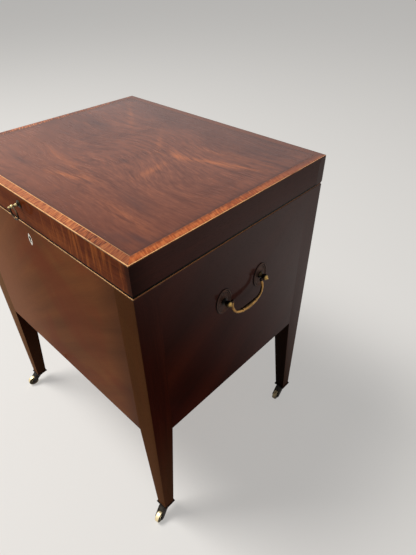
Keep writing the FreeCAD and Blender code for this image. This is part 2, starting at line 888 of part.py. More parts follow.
lock_case = Piece("lock_case")
box_half = size.lock_box_width / 2
wall = size.lock_wall
lock_case.upright("Pad", rectangle(-box_half, lock_box_face, box_half, lock_cap_face),
                  lock_top - size.lock_box_height, lock_top)
lock_case.upright("Pad", rectangle(-size.lock_width / 2, lock_box_face, size.lock_width / 2,
                                   size.panel_thickness), lock_top, carcase_top)
lock_case.upright("Pocket", rectangle(wall - box_half, lock_box_face + wall, box_half - wall,
                                      lock_cap_face),
                  lock_top - size.lock_box_height + wall, lock_top)
lock_case.upright("Pad", rectangle(-box_half, lock_box_face, box_half, lock_cap_face),
                  bar_bottom - size.bolt_clearance - wall, bar_bottom - size.bolt_clearance)
for end in (-1, 1):
    slot_half_x = staple_half + size.staple_slot_clearance
    slot_half_y = size.staple_depth / 2 + size.staple_slot_clearance
    middle = end * size.staple_offset
    lock_case.upright("Pocket", rectangle(middle - slot_half_x, bolt_middle - slot_half_y,
                                          middle + slot_half_x, bolt_middle + slot_half_y),
                      lock_top, carcase_top)
cut_keyhole(lock_case, lock_box_face, lock_box_face + wall)
place_on_side(lock_case.body, "front")
keep(lock_case.body)

lock_cap = Piece("lock_cap")
lock_cap.upright("Pad", rectangle(-size.lock_width / 2, lock_cap_face, size.lock_width / 2,
                                  size.panel_thickness), lock_top - size.lock_height, lock_top)
lock_cap.deep("Pad", circle(0, keyhole_level, size.drill_pin_radius),
              lock_cap_face - size.drill_pin_length, lock_cap_face)
for level in lock_screw_levels:
    for end in (-1, 1):
        lock_cap.countersink(end * lock_screw_x, size.panel_thickness, level, TO_FRONT,
                             size.lock_plate_thickness)
place_on_side(lock_cap.body, "front")
keep(lock_cap.body)
inner_front_face = centre_y - half_depth + size.panel_thickness
screw_set("lock_screws", [
    (end * lock_screw_x, inner_front_face, level)
    for level in lock_screw_levels
    for end in (-1, 1)
], TO_FRONT)

lock_bolt = Piece("lock_bolt")
hook_reach = size.staple_width + size.bolt_overhang + size.bolt_clearance
stem_gap = staple_half + size.bolt_tip_gap + hook_reach
bar_left = -size.staple_offset - stem_gap - size.bolt_stem_width
bar_right = size.staple_offset - stem_gap
lock_bolt.deep("Pad", rectangle(bar_left, bar_bottom, bar_right, bar_top),
               bolt_near, bolt_near + size.bolt_thickness)
for end in (-1, 1):
    stem_right = end * size.staple_offset - stem_gap
    stem_left = stem_right - size.bolt_stem_width
    hook_tip = stem_right + hook_reach
    hook = polygon((stem_left, bar_top), (stem_right, bar_top), (stem_right, hook_bottom),
                   (hook_tip, hook_bottom), (hook_tip, hook_top), (stem_left, hook_top))
    lock_bolt.deep("Pad", hook, bolt_near, bolt_near + size.bolt_thickness)
place_on_side(lock_bolt.body, "front")
keep(lock_bolt.body)

link_plate = Piece("lock_link_plate")
link_half = size.lock_width / 2
link_near = bolt_middle - size.link_plate_depth / 2
link_far = bolt_middle + size.link_plate_depth / 2
link_top = lid_bottom + size.link_plate_thickness
link_plate.upright("Pad", rectangle(-link_half, link_near, link_half, link_far), lid_bottom, link_top)
staple_bottom = hook_bottom - size.bolt_clearance * 2 - size.lock_wall
for end in (-1, 1):
    middle = end * size.staple_offset
    link_plate.upright("Pad", rectangle(middle - staple_half, bolt_middle - size.staple_depth / 2,
                                        middle + staple_half, bolt_middle + size.staple_depth / 2),
                       staple_bottom, lid_bottom)
window = rectangle(bolt_middle - size.staple_window / 2, hook_bottom - size.bolt_clearance * 2,
                   bolt_middle + size.staple_window / 2, hook_top + size.bolt_clearance * 2)
link_plate.across("Pocket", window, -link_half, link_half)
for end in (-1, 1):
    link_plate.countersink(end * (link_half - size.link_screw_inset), bolt_middle, lid_bottom, UPWARD,
                           size.link_plate_thickness)
place_on_side(link_plate.body, "front")
keep(link_plate.body)
link_screw_x = link_half - size.link_screw_inset
screw_set("link_plate_screws", [
    (end * link_screw_x, centre_y - half_depth + bolt_middle, lid_bottom) for end in (-1, 1)
], UPWARD)
lid_front.upright("Pocket", rectangle(-link_half, link_near, link_half, link_far), lid_bottom, link_top)
for end in (-1, 1):
    lid_front.bore(end * link_screw_x, bolt_middle, lid_bottom, UPWARD,
                   size.screw_shank_radius + size.screw_clearance, size.screw_length)


# Butt hinges: knuckles by turns on the carcase leaf and the lid leaf
knuckle_pitch = size.hinge_length / size.knuckle_count


def hinge_leaf(label, side, own_knuckles, direction):
    """One leaf with its knuckles, drawn about the pin's axis with the leaf towards -Y."""
    piece = Piece(label)
    half_length = size.hinge_length / 2
    inner = direction * size.lid_gap / 2
    outer = direction * (size.lid_gap / 2 + size.leaf_thickness)
    low, high = sorted((inner, outer), key=lambda level: level.value)
    leaf = rectangle(-half_length, -size.leaf_width, half_length, 0)
    piece.upright("Pad", leaf, low, high)
    clear_radius = size.knuckle_radius + size.barrel_clearance
    for number in range(int(size.knuckle_count.value)):
        start = number * knuckle_pitch - half_length
        finish = start + knuckle_pitch
        if number in own_knuckles:
            piece.across("Pad", circle(0, 0, size.knuckle_radius),
                         start + size.knuckle_gap / 2, finish - size.knuckle_gap / 2)
        else:
            gap = size.knuckle_gap / 2
            piece.upright("Pocket", rectangle(start - gap, -clear_radius, finish + gap, clear_radius),
                          low - size.knuckle_radius, high + size.knuckle_radius)
    is_lid = direction > 0
    bore = size.hinge_pin_radius + (size.running_clearance if is_lid else size.seat_clearance)
    piece.across("Pocket", circle(0, 0, bore), -half_length, half_length)
    for step in (-1, 0, 1):
        piece.countersink(step * size.leaf_screw_spacing, -size.leaf_screw_setback, inner,
                          UPWARD if is_lid else DOWNWARD, size.leaf_thickness)
    middle = side * (half_width - size.hinge_from_side)
    place(piece.body, middle, centre_y + hinge_axis_y, hinge_axis_z)
    return keep(piece.body)


for side, sign in (("left", -1), ("right", 1)):
    hinge_leaf(f"{side}_hinge_carcase_leaf", sign, (0, 2, 4), -1)
    hinge_leaf(f"{side}_hinge_lid_leaf", sign, (1, 3), 1)
group("hinge_pins", [
    solid("Cylinder", f"{side}_hinge_pin", sign * (half_width - size.hinge_from_side) - size.hinge_length / 2,
          centre_y + hinge_axis_y, hinge_axis_z, TO_RIGHT,
          Radius=size.hinge_pin_radius, Height=size.hinge_length)
    for side, sign in (("left", -1), ("right", 1))
])
hinge_screw_y = centre_y + hinge_axis_y - size.leaf_screw_setback
hinge_screw_xs = [
    sign * (half_width - size.hinge_from_side) + step * size.leaf_screw_spacing
    for sign in (-1, 1)
    for step in (-1, 0, 1)
]
screw_set("carcase_hinge_screws", [(x, hinge_screw_y, carcase_top) for x in hinge_screw_xs], DOWNWARD)
screw_set("lid_hinge_screws", [(x, hinge_screw_y, lid_bottom) for x in hinge_screw_xs], UPWARD)

# Ring pull: turned post through the lid's front rail, nut inside, and the swinging ring
lid_front.deep("Pocket", circle(0, pull_level, size.pull_shank_radius + size.seat_clearance),
               0, size.lid_rail_thickness)
lid_face = centre_y - half_depth
pull_members = [
    solid("Cylinder", "pull_shank", 0, lid_face, pull_level, TO_BACK, Radius=size.pull_shank_radius,
          Height=size.lid_rail_thickness + size.pull_nut_thickness),
    solid("Cylinder", "pull_rosette", 0, lid_face, pull_level, TO_FRONT,
          Radius=size.pull_rosette_radius, Height=size.pull_rosette_thickness),
    solid("Cone", "pull_rosette_dome", 0, lid_face - size.pull_rosette_thickness, pull_level, TO_FRONT,
          Radius1=size.pull_dome_radius, Radius2=size.pull_neck_radius,
          Height=size.pull_rosette_thickness),
    solid("Cylinder", "pull_neck", 0, lid_face, pull_level, TO_FRONT,
          Radius=size.pull_neck_radius, Height=size.pull_stand),
    solid("Sphere", "pull_bead", 0, lid_face - size.pull_bead_stand, pull_level,
          Radius=size.pull_bead_radius),
    solid("Sphere", "pull_eye", 0, lid_face - size.pull_stand, pull_level, Radius=size.pull_eye_radius),
    solid("Cylinder", "pull_tip_neck", 0, lid_face - size.pull_stand, pull_level, TO_FRONT,
          Radius=size.pull_tip_neck_radius, Height=size.pull_tip_stand - size.pull_stand),
    solid("Sphere", "pull_tip", 0, lid_face - size.pull_tip_stand, pull_level,
          Radius=size.pull_tip_radius),
]
eye_bore = solid("Cylinder", "pull_eye_bore", -size.pull_eye_radius * 2, lid_face - size.pull_stand,
                 pull_level, TO_RIGHT, Radius=size.pull_eye_bore, Height=size.pull_eye_radius * 4)
pull_post = cut("pull_post", fuse("pull_post_turning", pull_members), eye_bore)
keep(pull_post)

nut_face = lid_face + size.lid_rail_thickness
pull_nut = cut(
    "pull_nut",
    solid("Cylinder", "pull_nut_blank", 0, nut_face, pull_level, TO_BACK,
          Radius=size.pull_nut_radius, Height=size.pull_nut_thickness),
    solid("Cylinder", "pull_nut_thread", 0, nut_face, pull_level, TO_BACK,
          Radius=size.pull_shank_radius + size.seat_clearance, Height=size.pull_nut_thickness),
)
keep(pull_nut)
keep(solid("Torus", "pull_ring", 0, lid_face - size.pull_stand,
           pull_level + size.ring_top_offset - size.ring_radius, TO_FRONT,
           Radius1=size.ring_radius, Radius2=size.ring_wire_radius))


# Carrying handles: a pair of oval backplates, turned posts, nuts and a bail on each side
def backplate(name, y):
    """An oval plate with a raised rim, drawn on the right side and facing +X."""
    upright_oval = FreeCAD.Rotation(FreeCAD.Vector(0, 1, 0), -90)

    def oval_prism(label, x, inset, thickness):
        edge = doc.addObject("Part::Ellipse", f"{label}_edge")
        bind(edge, "MajorRadius", size.backplate_height / 2 - inset)
        bind(edge, "MinorRadius", size.backplate_width / 2 - inset)
        place(edge, x, y, handle_level, upright_oval)
        prism = doc.addObject("Part::Extrusion", label)
        prism.Base = edge
        prism.DirMode = "Custom"
        prism.Dir = (1, 0, 0)
        prism.Solid = True
        bind(prism, "LengthFwd", thickness)
        return prism

    blank = oval_prism(f"{name}_blank", as_length(0), as_length(0), size.backplate_thickness)
    recess = oval_prism(f"{name}_recess", size.backplate_thickness - size.backplate_recess,
                        size.backplate_rim, size.backplate_recess)
    hole = solid("Cylinder", f"{name}_hole", 0, y, handle_level, TO_RIGHT,
                 Radius=size.handle_shank_radius + size.seat_clearance, Height=size.backplate_thickness)
    boss = solid("Cylinder", f"{name}_boss", size.backplate_thickness - size.backplate_recess, y,
                 handle_level, TO_RIGHT, Radius=size.knob_flange_radius, Height=size.backplate_recess)
    ring_recess = cut(f"{name}_ring_recess", recess, boss)
    return cut(name, cut(f"{name}_rimmed", blank, ring_recess), hole)


def knob_post(name, y, inward):
    """A turned post with a ball head, bored from its inner side for the bail's tang."""
    members = [
        solid("Cylinder", f"{name}_shank", -(size.panel_thickness + size.handle_nut_thickness), y,
              handle_level, TO_RIGHT, Radius=size.handle_shank_radius,
              Height=size.panel_thickness + size.handle_nut_thickness + size.backplate_thickness),
        solid("Cylinder", f"{name}_flange", size.backplate_thickness, y, handle_level, TO_RIGHT,
              Radius=size.knob_flange_radius, Height=size.knob_flange_thickness),
        solid("Cone", f"{name}_neck", size.backplate_thickness + size.knob_flange_thickness, y,
              handle_level, TO_RIGHT, Radius1=size.knob_neck_base_radius,
              Radius2=size.knob_neck_radius, Height=size.knob_neck_length),
        solid("Sphere", f"{name}_ball", size.knob_stand, y, handle_level, Radius=size.knob_radius),
        solid("Sphere", f"{name}_tip", size.knob_stand + size.knob_radius, y, handle_level,
              Radius=size.knob_tip_radius),
    ]
    tang_hole = solid("Cylinder", f"{name}_tang_hole", size.knob_stand,
                      y - inward * size.bail_tang_depth, handle_level,
                      TO_BACK if inward > 0 else TO_FRONT,
                      Radius=size.bail_tang_radius + size.running_clearance,
                      Height=size.knob_radius * 2)
    return cut(name, fuse(f"{name}_turning", members), tang_hole)


def handle_nut(name, y):
    """A square nut on the inner face of the side panel."""
    half_square = size.handle_nut_square / 2
    back_face = -(size.panel_thickness + size.handle_nut_thickness)
    blank = solid("Box", f"{name}_blank", back_face, y - half_square, handle_level - half_square,
                  Length=size.handle_nut_thickness, Width=size.handle_nut_square,
                  Height=size.handle_nut_square)
    thread = solid("Cylinder", f"{name}_thread", back_face, y, handle_level, TO_RIGHT,
                   Radius=size.handle_shank_radius + size.seat_clearance, Height=size.handle_nut_thickness)
    return cut(name, blank, thread)


# Course of half a bail: share of its half span, share of its bow, share of its drop,
# and how far its thickness has grown from the arm's to the grip's
BAIL_COURSE = (
    (1.0, 0.0, 0.0, 0.0),
    (1.0, 1.0, 0.25, 0.0),
    (1.0, 0.0, 0.53, 0.0),
    (0.79, 0.0, 0.82, 0.05),
    (0.47, 0.0, 0.955, 0.5),
    (0.2, 0.0, 0.995, 0.9),
)


def bail_shape():
    """The bail, hanging from its two tangs on the Y axis: slim arms that swell into the grip."""
    span = size.bail_half_span.value
    drop = size.bail_drop.value
    arm = size.bail_arm_radius.value
    grip = size.bail_grip_radius.value
    half_line = [
        (span * along + size.bail_bow.value * bowed, drop * fallen, arm + (grip - arm) * grown)
        for along, bowed, fallen, grown in BAIL_COURSE
    ]
    stations = half_line + [(0.0, drop, grip)] + [(-y, fall, radius) for y, fall, radius in half_line[::-1]]
    sections = []
    for step, (y, fall, radius) in enumerate(stations):
        before = stations[max(step - 1, 0)]
        after = stations[min(step + 1, len(stations) - 1)]
        heading = FreeCAD.Vector(0, after[0] - before[0], before[1] - after[1])
        if step in (0, len(stations) - 1):
            heading = FreeCAD.Vector(0, 0, -1 if step == 0 else 1)
        turn = math.degrees(math.atan2(-heading.y, heading.z))
        section = Part.makeCircle(radius)
        section.Placement = FreeCAD.Placement(
            FreeCAD.Vector(0, y, -fall),
            FreeCAD.Rotation(FreeCAD.Vector(1, 0, 0), turn),
        )
        sections.append(Part.Wire(section))
    bar = Part.makeLoft(sections, True, False)
    members = []
    for end in (-1, 1):
        members.append(Part.makeSphere(size.bail_eye_radius.value, FreeCAD.Vector(0, end * span, 0)))
        tang_end = size.handle_spacing.value / 2
        members.append(Part.makeCylinder(
            size.bail_tang_radius.value,
            tang_end - span,
            FreeCAD.Vector(0, end * span, 0),
            FreeCAD.Vector(0, end, 0),
        ))
    return bar.fuse(members)


def carrying_handle(side):
    """All the pieces of one handle, drawn on the right side and turned to the left for the other."""
    rotation = FreeCAD.Rotation(Z_AXIS, 0.0 if side == "right" else 180.0)
    face = half_width if side == "right" else -half_width
    ends = (("front", -1), ("back", 1))
    plates = [backplate(f"{side}_{name}_backplate", end * size.handle_spacing / 2) for name, end in ends]
    posts = [knob_post(f"{side}_{name}_post", end * size.handle_spacing / 2, -end) for name, end in ends]
    nuts = [handle_nut(f"{side}_{name}_nut", end * size.handle_spacing / 2) for name, end in ends]
    for label, members in (("backplates", plates), ("posts", posts), ("nuts", nuts)):
        place(group(f"{side}_handle_{label}", members), face, centre_y, 0, rotation)
    bail = doc.addObject("Part::Feature", f"{side}_handle_bail")
    bail.Label = f"{side}_handle_bail"
    bail.Shape = bail_shape()
    outward = 1 if side == "right" else -1
    lean = FreeCAD.Rotation(FreeCAD.Vector(0, 1, 0), -outward * size.bail_lean_angle.value)
    place(bail, face + outward * size.knob_stand, centre_y, handle_level, lean)
    keep(bail)


for side in SIDES:
    carrying_handle(side)

# Castors: plate and screws on the foot, a fork that swivels below it, and its wheel
plate_underside = size.castor_height - size.castor_plate_thickness
fork_top = plate_underside - size.castor_plate_gap
fork_gap_half = size.wheel_hub_width / 2 + size.fork_side_clearance
fork_half = fork_gap_half + size.fork_arm_thickness
boss_bottom = fork_top - size.swivel_boss_height
swivel_bore = size.swivel_pin_radius + size.seat_clearance
axle_bore = size.axle_radius + size.seat_clearance


def foot_centre(name):
    """Middle of one leg's foot."""
    side_x, side_y = CORNERS[name][:2]
    return side_x * (half_width - foot_inset), centre_y + side_y * (half_depth - foot_inset)


def castor_plate(name):
    """A square plate with a hole for the swivel pin and four countersunk screw holes."""
    piece = Piece(f"castor_plate_{name}")
    half_plate = size.castor_plate_square / 2
    piece.upright("Pad", rectangle(-half_plate, -half_plate, half_plate, half_plate),
                  plate_underside, size.castor_height)
    piece.upright("Pocket", circle(0, 0, size.swivel_pin_radius + size.running_clearance),
                  plate_underside, size.castor_height)
    for step_x in (-1, 1):
        for step_y in (-1, 1):
            piece.countersink(step_x * size.castor_screw_offset, step_y * size.castor_screw_offset,
                              plate_underside, UPWARD, size.castor_plate_thickness)
    x, y = foot_centre(name)
    place(piece.body, x, y)
    return piece.body


group("castor_plates", [castor_plate(name) for name in CORNERS])
screw_set("castor_screws", [
    (foot_centre(name)[0] + step_x * size.castor_screw_offset,
     foot_centre(name)[1] + step_y * size.castor_screw_offset,
     plate_underside)
    for name in CORNERS
    for step_x in (-1, 1)
    for step_y in (-1, 1)
], UPWARD)


def castor_fork(name, rotation, x, y):
    """The horn-shaped fork, its arms sweeping down and forward from the swivel boss to the axle."""
    piece = Piece(f"castor_fork_{name}")
    trail = size.wheel_trail
    eye = size.fork_eye_radius
    eye_across = eye * cosine(size.fork_eye_angle)
    eye_along = eye * sine(size.fork_eye_angle)
    arm = polygon(
        (size.swivel_boss_radius, boss_bottom),
        (size.swivel_boss_radius, fork_top),
        (-size.swivel_boss_radius, fork_top),
        (-size.fork_crown_reach, fork_top - size.fork_crown_fall),
        (-(trail + eye_across), size.wheel_radius + eye_along),
        (-(trail - eye_along), size.wheel_radius - eye_across),
        (-size.fork_belly_reach, boss_bottom - size.swivel_boss_height),
    )
    piece.across("Pad", arm, -fork_half, fork_half)
    piece.across("Pad", circle(-trail, size.wheel_radius, eye), -fork_half, fork_half)
    piece.across("Pocket", circle(-trail, size.wheel_radius, size.wheel_radius + size.fork_wheel_clearance),
                 -fork_gap_half, fork_gap_half)
    piece.across("Pocket", circle(-trail, size.wheel_radius, axle_bore), -fork_half, fork_half)
    piece.upright("Pocket", circle(0, 0, swivel_bore), boss_bottom, fork_top)
    place(piece.body, x, y, 0, rotation)
    return keep(piece.body)


def castor_pins(name, rotation, x, y):
    """The swivel pin, its head above the plate, and the axle, both fixed in the fork."""
    head_bottom = size.castor_height + size.swivel_head_clearance
    stem = solid("Cylinder", f"swivel_stem_{name}", z=boss_bottom, Radius=size.swivel_pin_radius,
                 Height=head_bottom - boss_bottom)
    head = solid("Cylinder", f"swivel_head_{name}", z=head_bottom, Radius=size.swivel_head_radius,
                 Height=size.swivel_head_thickness)
    swivel = fuse(f"swivel_pin_{name}", [stem, head])
    axle_half = fork_half + size.axle_end_length
    axle = solid("Cylinder", f"axle_{name}", -axle_half, -size.wheel_trail, size.wheel_radius, TO_RIGHT,
                 Radius=size.axle_radius, Height=axle_half * 2)
    pins = group(f"castor_pins_{name}", [swivel, axle])
    place(pins, x, y, 0, rotation)


def castor_wheel(name, rotation, x, y, turn):
    """A brass wheel with a narrow hub boss on each side, turning on the axle."""
    piece = Piece(f"castor_wheel_{name}")
    tread_half = size.wheel_tread_width / 2
    hub_half = size.wheel_hub_width / 2
    chamfer = size.wheel_tread_chamfer
    profile = piece.sketch("XY_Plane", 0)
    bore = size.axle_radius + size.running_clearance
    polygon(
        (-hub_half, bore), (-hub_half, size.wheel_hub_radius), (-tread_half, size.wheel_hub_radius),
        (-tread_half, size.wheel_radius - chamfer), (chamfer - tread_half, size.wheel_radius),
        (tread_half - chamfer, size.wheel_radius), (tread_half, size.wheel_radius - chamfer),
        (tread_half, size.wheel_hub_radius), (hub_half, size.wheel_hub_radius), (hub_half, bore),
    )(profile)
    spin = piece.body.newObject("PartDesign::Revolution", "Turning")
    spin.Profile = profile
    spin.ReferenceAxis = (profile, ["H_Axis"])
    spin.Angle = 360.0
    place(piece.body, x + sine(turn) * size.wheel_trail, y - cosine(turn) * size.wheel_trail,
          size.wheel_radius, rotation)
    return keep(piece.body)


for corner in CORNERS:
    turn = getattr(size, f"turn_{corner}")
    rotation = FreeCAD.Rotation(Z_AXIS, turn.value)
    foot_x, foot_y = foot_centre(corner)
    castor_fork(corner, rotation, foot_x, foot_y)
    castor_pins(corner, rotation, foot_x, foot_y)
    castor_wheel(corner, rotation, foot_x, foot_y, turn)

# Check every object, then write each sub-part
doc.recompute()
for item in doc.Objects:
    if "Invalid" in item.State or "Error" in item.State:
        raise RuntimeError(f"{item.Label} did not build: {item.State}")
for item in sub_parts:
    if item.Shape.isNull() or not item.Shape.isValid() or not item.Shape.Solids:
        raise RuntimeError(f"{item.Label} has no valid solid")

whole = FreeCAD.BoundBox()
for item in sub_parts:
    whole.add(item.Shape.BoundBox)
print(f"{len(sub_parts)} sub-parts, x {whole.XMin:.2f} {whole.XMax:.2f}, "
      f"y {whole.YMin:.2f} {whole.YMax:.2f}, z {whole.ZMin:.2f} {whole.ZMax:.2f}")

os.makedirs("parts", exist_ok=True)
for item in sub_parts:
    item.Shape.exportStep(f"parts/{item.Label}.step")
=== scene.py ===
"""A mahogany bottle box on tapered legs: the finishes, fittings, studio and viewpoint around its frame."""

import json
import logging
import math
from collections.abc import Callable, Sequence
from dataclasses import dataclass, field
from enum import Enum

import bmesh
import bpy
from mathutils import Matrix, Vector


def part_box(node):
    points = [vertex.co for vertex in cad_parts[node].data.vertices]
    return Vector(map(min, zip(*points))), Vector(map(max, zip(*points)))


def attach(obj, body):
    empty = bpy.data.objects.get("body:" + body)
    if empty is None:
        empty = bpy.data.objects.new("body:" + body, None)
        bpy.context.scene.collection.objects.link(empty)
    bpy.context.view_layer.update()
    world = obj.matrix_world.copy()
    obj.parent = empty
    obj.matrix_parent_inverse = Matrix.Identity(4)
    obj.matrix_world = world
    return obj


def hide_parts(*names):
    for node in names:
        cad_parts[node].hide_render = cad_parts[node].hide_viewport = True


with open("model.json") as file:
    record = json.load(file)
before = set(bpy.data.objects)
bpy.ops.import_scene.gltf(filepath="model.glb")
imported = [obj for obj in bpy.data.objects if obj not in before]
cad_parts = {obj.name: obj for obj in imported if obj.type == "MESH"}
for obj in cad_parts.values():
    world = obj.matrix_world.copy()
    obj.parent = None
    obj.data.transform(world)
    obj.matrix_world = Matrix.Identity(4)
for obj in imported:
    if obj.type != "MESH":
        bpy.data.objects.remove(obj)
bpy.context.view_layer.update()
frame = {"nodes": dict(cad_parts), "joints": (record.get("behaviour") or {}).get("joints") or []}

LOG = logging.getLogger("cellarette")
MM = 0.001
MERGE_DISTANCE = 0.000002
Colour = tuple[float, float, float, float]


def tint(red: int, green: int, blue: int) -> Colour:
    """Turn a colour as a painter reads it off a chart into the linear one that shaders use.

    Args:
        red: Red from 0 to 255.
        green: Green from 0 to 255.
        blue: Blue from 0 to 255.

    Returns:
        The linear colour with full cover.
    """
    linear = [
        part / 12.92 if part <= 0.04045 else ((part + 0.055) / 1.055) ** 2.4
        for part in (red / 255, green / 255, blue / 255)
    ]
    return (linear[0], linear[1], linear[2], 1.0)


class Signal:
    """A shader socket that takes part in Python expressions."""

    def __init__(self, sheet: "FinishSheet", socket: bpy.types.NodeSocket) -> None:
        """Wrap a socket of a finish's own tree."""
        self.sheet = sheet
        self.socket = socket

    def __add__(self, other: "Signal | float") -> "Signal":
        """Sum of two values."""
        return self.sheet.maths("ADD", self, other)

    def __radd__(self, other: float) -> "Signal":
        """Sum that starts with a plain number."""
        return self.sheet.maths("ADD", other, self)

    def __sub__(self, other: "Signal | float") -> "Signal":
        """Difference of two values."""
        return self.sheet.maths("SUBTRACT", self, other)

    def __rsub__(self, other: float) -> "Signal":
        """Difference that starts with a plain number."""
        return self.sheet.maths("SUBTRACT", other, self)

    def __mul__(self, other: "Signal | float") -> "Signal":
        """Product of two values."""
        return self.sheet.maths("MULTIPLY", self, other)

    def __rmul__(self, other: float) -> "Signal":
        """Product that starts with a plain number."""
        return self.sheet.maths("MULTIPLY", other, self)

    def __truediv__(self, other: "Signal | float") -> "Signal":
        """Quotient of two values."""
        return self.sheet.maths("DIVIDE", self, other)

    def __abs__(self) -> "Signal":
        """Size without its sign."""
        return self.sheet.maths("ABSOLUTE", self)

    def least(self, other: "Signal | float") -> "Signal":
        """The smaller of two values."""
        return self.sheet.maths("MINIMUM", self, other)

    def most(self, other: "Signal | float") -> "Signal":
        """The larger of two values."""
        return self.sheet.maths("MAXIMUM", self, other)

    def below(self, other: "Signal | float") -> "Signal":
        """One where this value is the smaller of the two, and nought elsewhere."""
        return self.sheet.maths("LESS_THAN", self, other)

    def decay(self) -> "Signal":
        """Natural fall-off: one at nought, and dying away as the value grows."""
        return self.sheet.maths("EXPONENT", self * -1.0)

    def rise(self, start: float, end: float) -> "Signal":
        """Smooth step from nought at start to one at end."""
        made = self.sheet.node(
            "ShaderNodeMapRange",
            {"interpolation_type": "SMOOTHSTEP"},
            {"Value": self, "From Min": start, "From Max": end},
        )
        return Signal(self.sheet, made.outputs["Result"])


class FinishSheet:
    """The node tree of one material, with a short way to write each kind of node."""

    def __init__(self, name: str) -> None:
        """Start an empty material.

        Args:
            name: What the finish is called.
        """
        self.material = bpy.data.materials.new(name)
        self.material.use_nodes = True
        self.tree = self.material.node_tree
        self.tree.nodes.clear()

    def node(self, kind: str, settings: dict | None = None, values: dict | None = None) -> bpy.types.Node:
        """Add one node.

        Args:
            kind: Blender's name for the node type.
            settings: Properties to set first; "stops" holds a ramp's positions and colours.
            values: Constants or signals for the inputs, by name or number.

        Returns:
            The node.
        """
        made = self.tree.nodes.new(kind)
        for key, setting in (settings or {}).items():
            if key == "stops":
                self._set_stops(made.color_ramp, setting)
            else:
                setattr(made, key, setting)
        for key, value in (values or {}).items():
            if isinstance(value, Signal):
                self.tree.links.new(value.socket, made.inputs[key])
            else:
                made.inputs[key].default_value = value
        return made

    @staticmethod
    def _set_stops(ramp: bpy.types.ColorRamp, stops: Sequence[tuple[float, Colour]]) -> None:
        """Give a ramp its stops, in order."""
        while len(ramp.elements) < len(stops):
            ramp.elements.new(1.0)
        for element, (position, colour) in zip(ramp.elements, stops):
            element.position = position
            element.color = colour

    def maths(self, operation: str, *values: Signal | float) -> Signal:
        """One sum on plain values."""
        made = self.node("ShaderNodeMath", {"operation": operation}, dict(enumerate(values)))
        return Signal(self, made.outputs["Value"])

    def place(self) -> tuple[Signal, Signal, Signal]:
        """The three coordinates of the surface, in metres in the frame."""
        source = self.node("ShaderNodeTexCoord")
        parts = self.node("ShaderNodeSeparateXYZ", None, {0: Signal(self, source.outputs["Object"])})
        return tuple(Signal(self, output) for output in parts.outputs)

    def facing(self) -> tuple[Signal, Signal, Signal]:
        """The three parts of the surface's own outward direction."""
        source = self.node("ShaderNodeTexCoord")
        parts = self.node("ShaderNodeSeparateXYZ", None, {0: Signal(self, source.outputs["Normal"])})
        return tuple(Signal(self, output) for output in parts.outputs)

    def vector(self, x: Signal | float, y: Signal | float, z: Signal | float) -> Signal:
        """Three values as one vector."""
        made = self.node("ShaderNodeCombineXYZ", None, {0: x, 1: y, 2: z})
        return Signal(self, made.outputs["Vector"])

    def noise(self, where: Signal, scale: float = 1.0, detail: float = 2.0, rough: float = 0.5,
              distortion: float = 0.0) -> Signal:
        """Cloudy noise between nought and one.

        Args:
            where: Point to look up.
            scale: Features per unit of length.
            detail: How many finer layers are added.
            rough: How strong the finer layers are.
            distortion: How far the clouds are stirred.

        Returns:
            The value of the noise.
        """
        values = {"Vector": where, "Scale": scale, "Detail": detail, "Roughness": rough, "Distortion": distortion}
        return Signal(self, self.node("ShaderNodeTexNoise", None, values).outputs["Fac"])

    def ramp(self, factor: Signal, stops: Sequence[tuple[float, Colour]]) -> Signal:
        """Colours along a value."""
        made = self.node("ShaderNodeValToRGB", {"stops": stops}, {"Fac": factor})
        return Signal(self, made.outputs["Color"])

    def blend(self, factor: Signal | float, first: Signal | Colour, second: Signal | Colour,
              mode: str = "MIX") -> Signal:
        """Two colours mixed.

        Args:
            factor: Share of the second colour.
            first: Colour at nought.
            second: Colour at one.
            mode: How the two are put together.

        Returns:
            The mixed colour.
        """
        made = self.node(
            "ShaderNodeMix",
            {"data_type": "RGBA", "blend_type": mode, "clamp_factor": True},
            {0: factor, 6: first, 7: second},
        )
        return Signal(self, made.outputs[2])

    def relief(self, height: Signal, depth: float, strength: float = 1.0) -> Signal:
        """Fine relief as a bent normal."""
        made = self.node("ShaderNodeBump", None, {"Height": height, "Distance": depth, "Strength": strength})
        return Signal(self, made.outputs["Normal"])

    def surface(self, **values: Signal | float | Colour) -> None:
        """Finish the sheet with one principled surface.

        Args:
            values: Its inputs, with underscores for the spaces in their names.
        """
        named = {key.replace("_", " "): value for key, value in values.items()}
        shader = self.node("ShaderNodeBsdfPrincipled", None, named)
        output = self.node("ShaderNodeOutputMaterial")
        self.tree.links.new(shader.outputs["BSDF"], output.inputs["Surface"])


class Lay(Enum):
    """Which way the fibres run: along them, and across them in the show face."""

    TOP = ((1.0, 0.0, 0.0), (0.0, 1.0, 0.0), (0.0, 0.0, 1.0))
    UPRIGHT = ((0.0, 0.0, 1.0), (0.72, 0.69, 0.0), (0.69, -0.72, 0.0))
    FRONT_SLANT = ((0.79, 0.0, 0.61), (-0.61, 0.0, 0.79), (0.0, 1.0, 0.0))
    SIDE_SLANT = ((0.0, 0.85, 0.53), (0.0, -0.53, 0.85), (1.0, 0.0, 0.0))
    ALONG_DEPTH = ((0.0, 1.0, 0.0), (1.0, 0.0, 0.0), (0.0, 0.0, 1.0))
    ALONG_WIDTH = ((1.0, 0.0, 0.0), (0.0, 0.0, 1.0), (0.0, 1.0, 0.0))


def project(place: tuple[Signal, Signal, Signal], direction: tuple[float, float, float]) -> Signal:
    """Distance along a direction.

    Args:
        place: The surface's coordinates.
        direction: Unit direction to measure along.

    Returns:
        The distance as a signal.
    """
    terms = [part * share for part, share in zip(place, direction) if share]
    total = terms[0]
    for term in terms[1:]:
        total = total + term
    return total


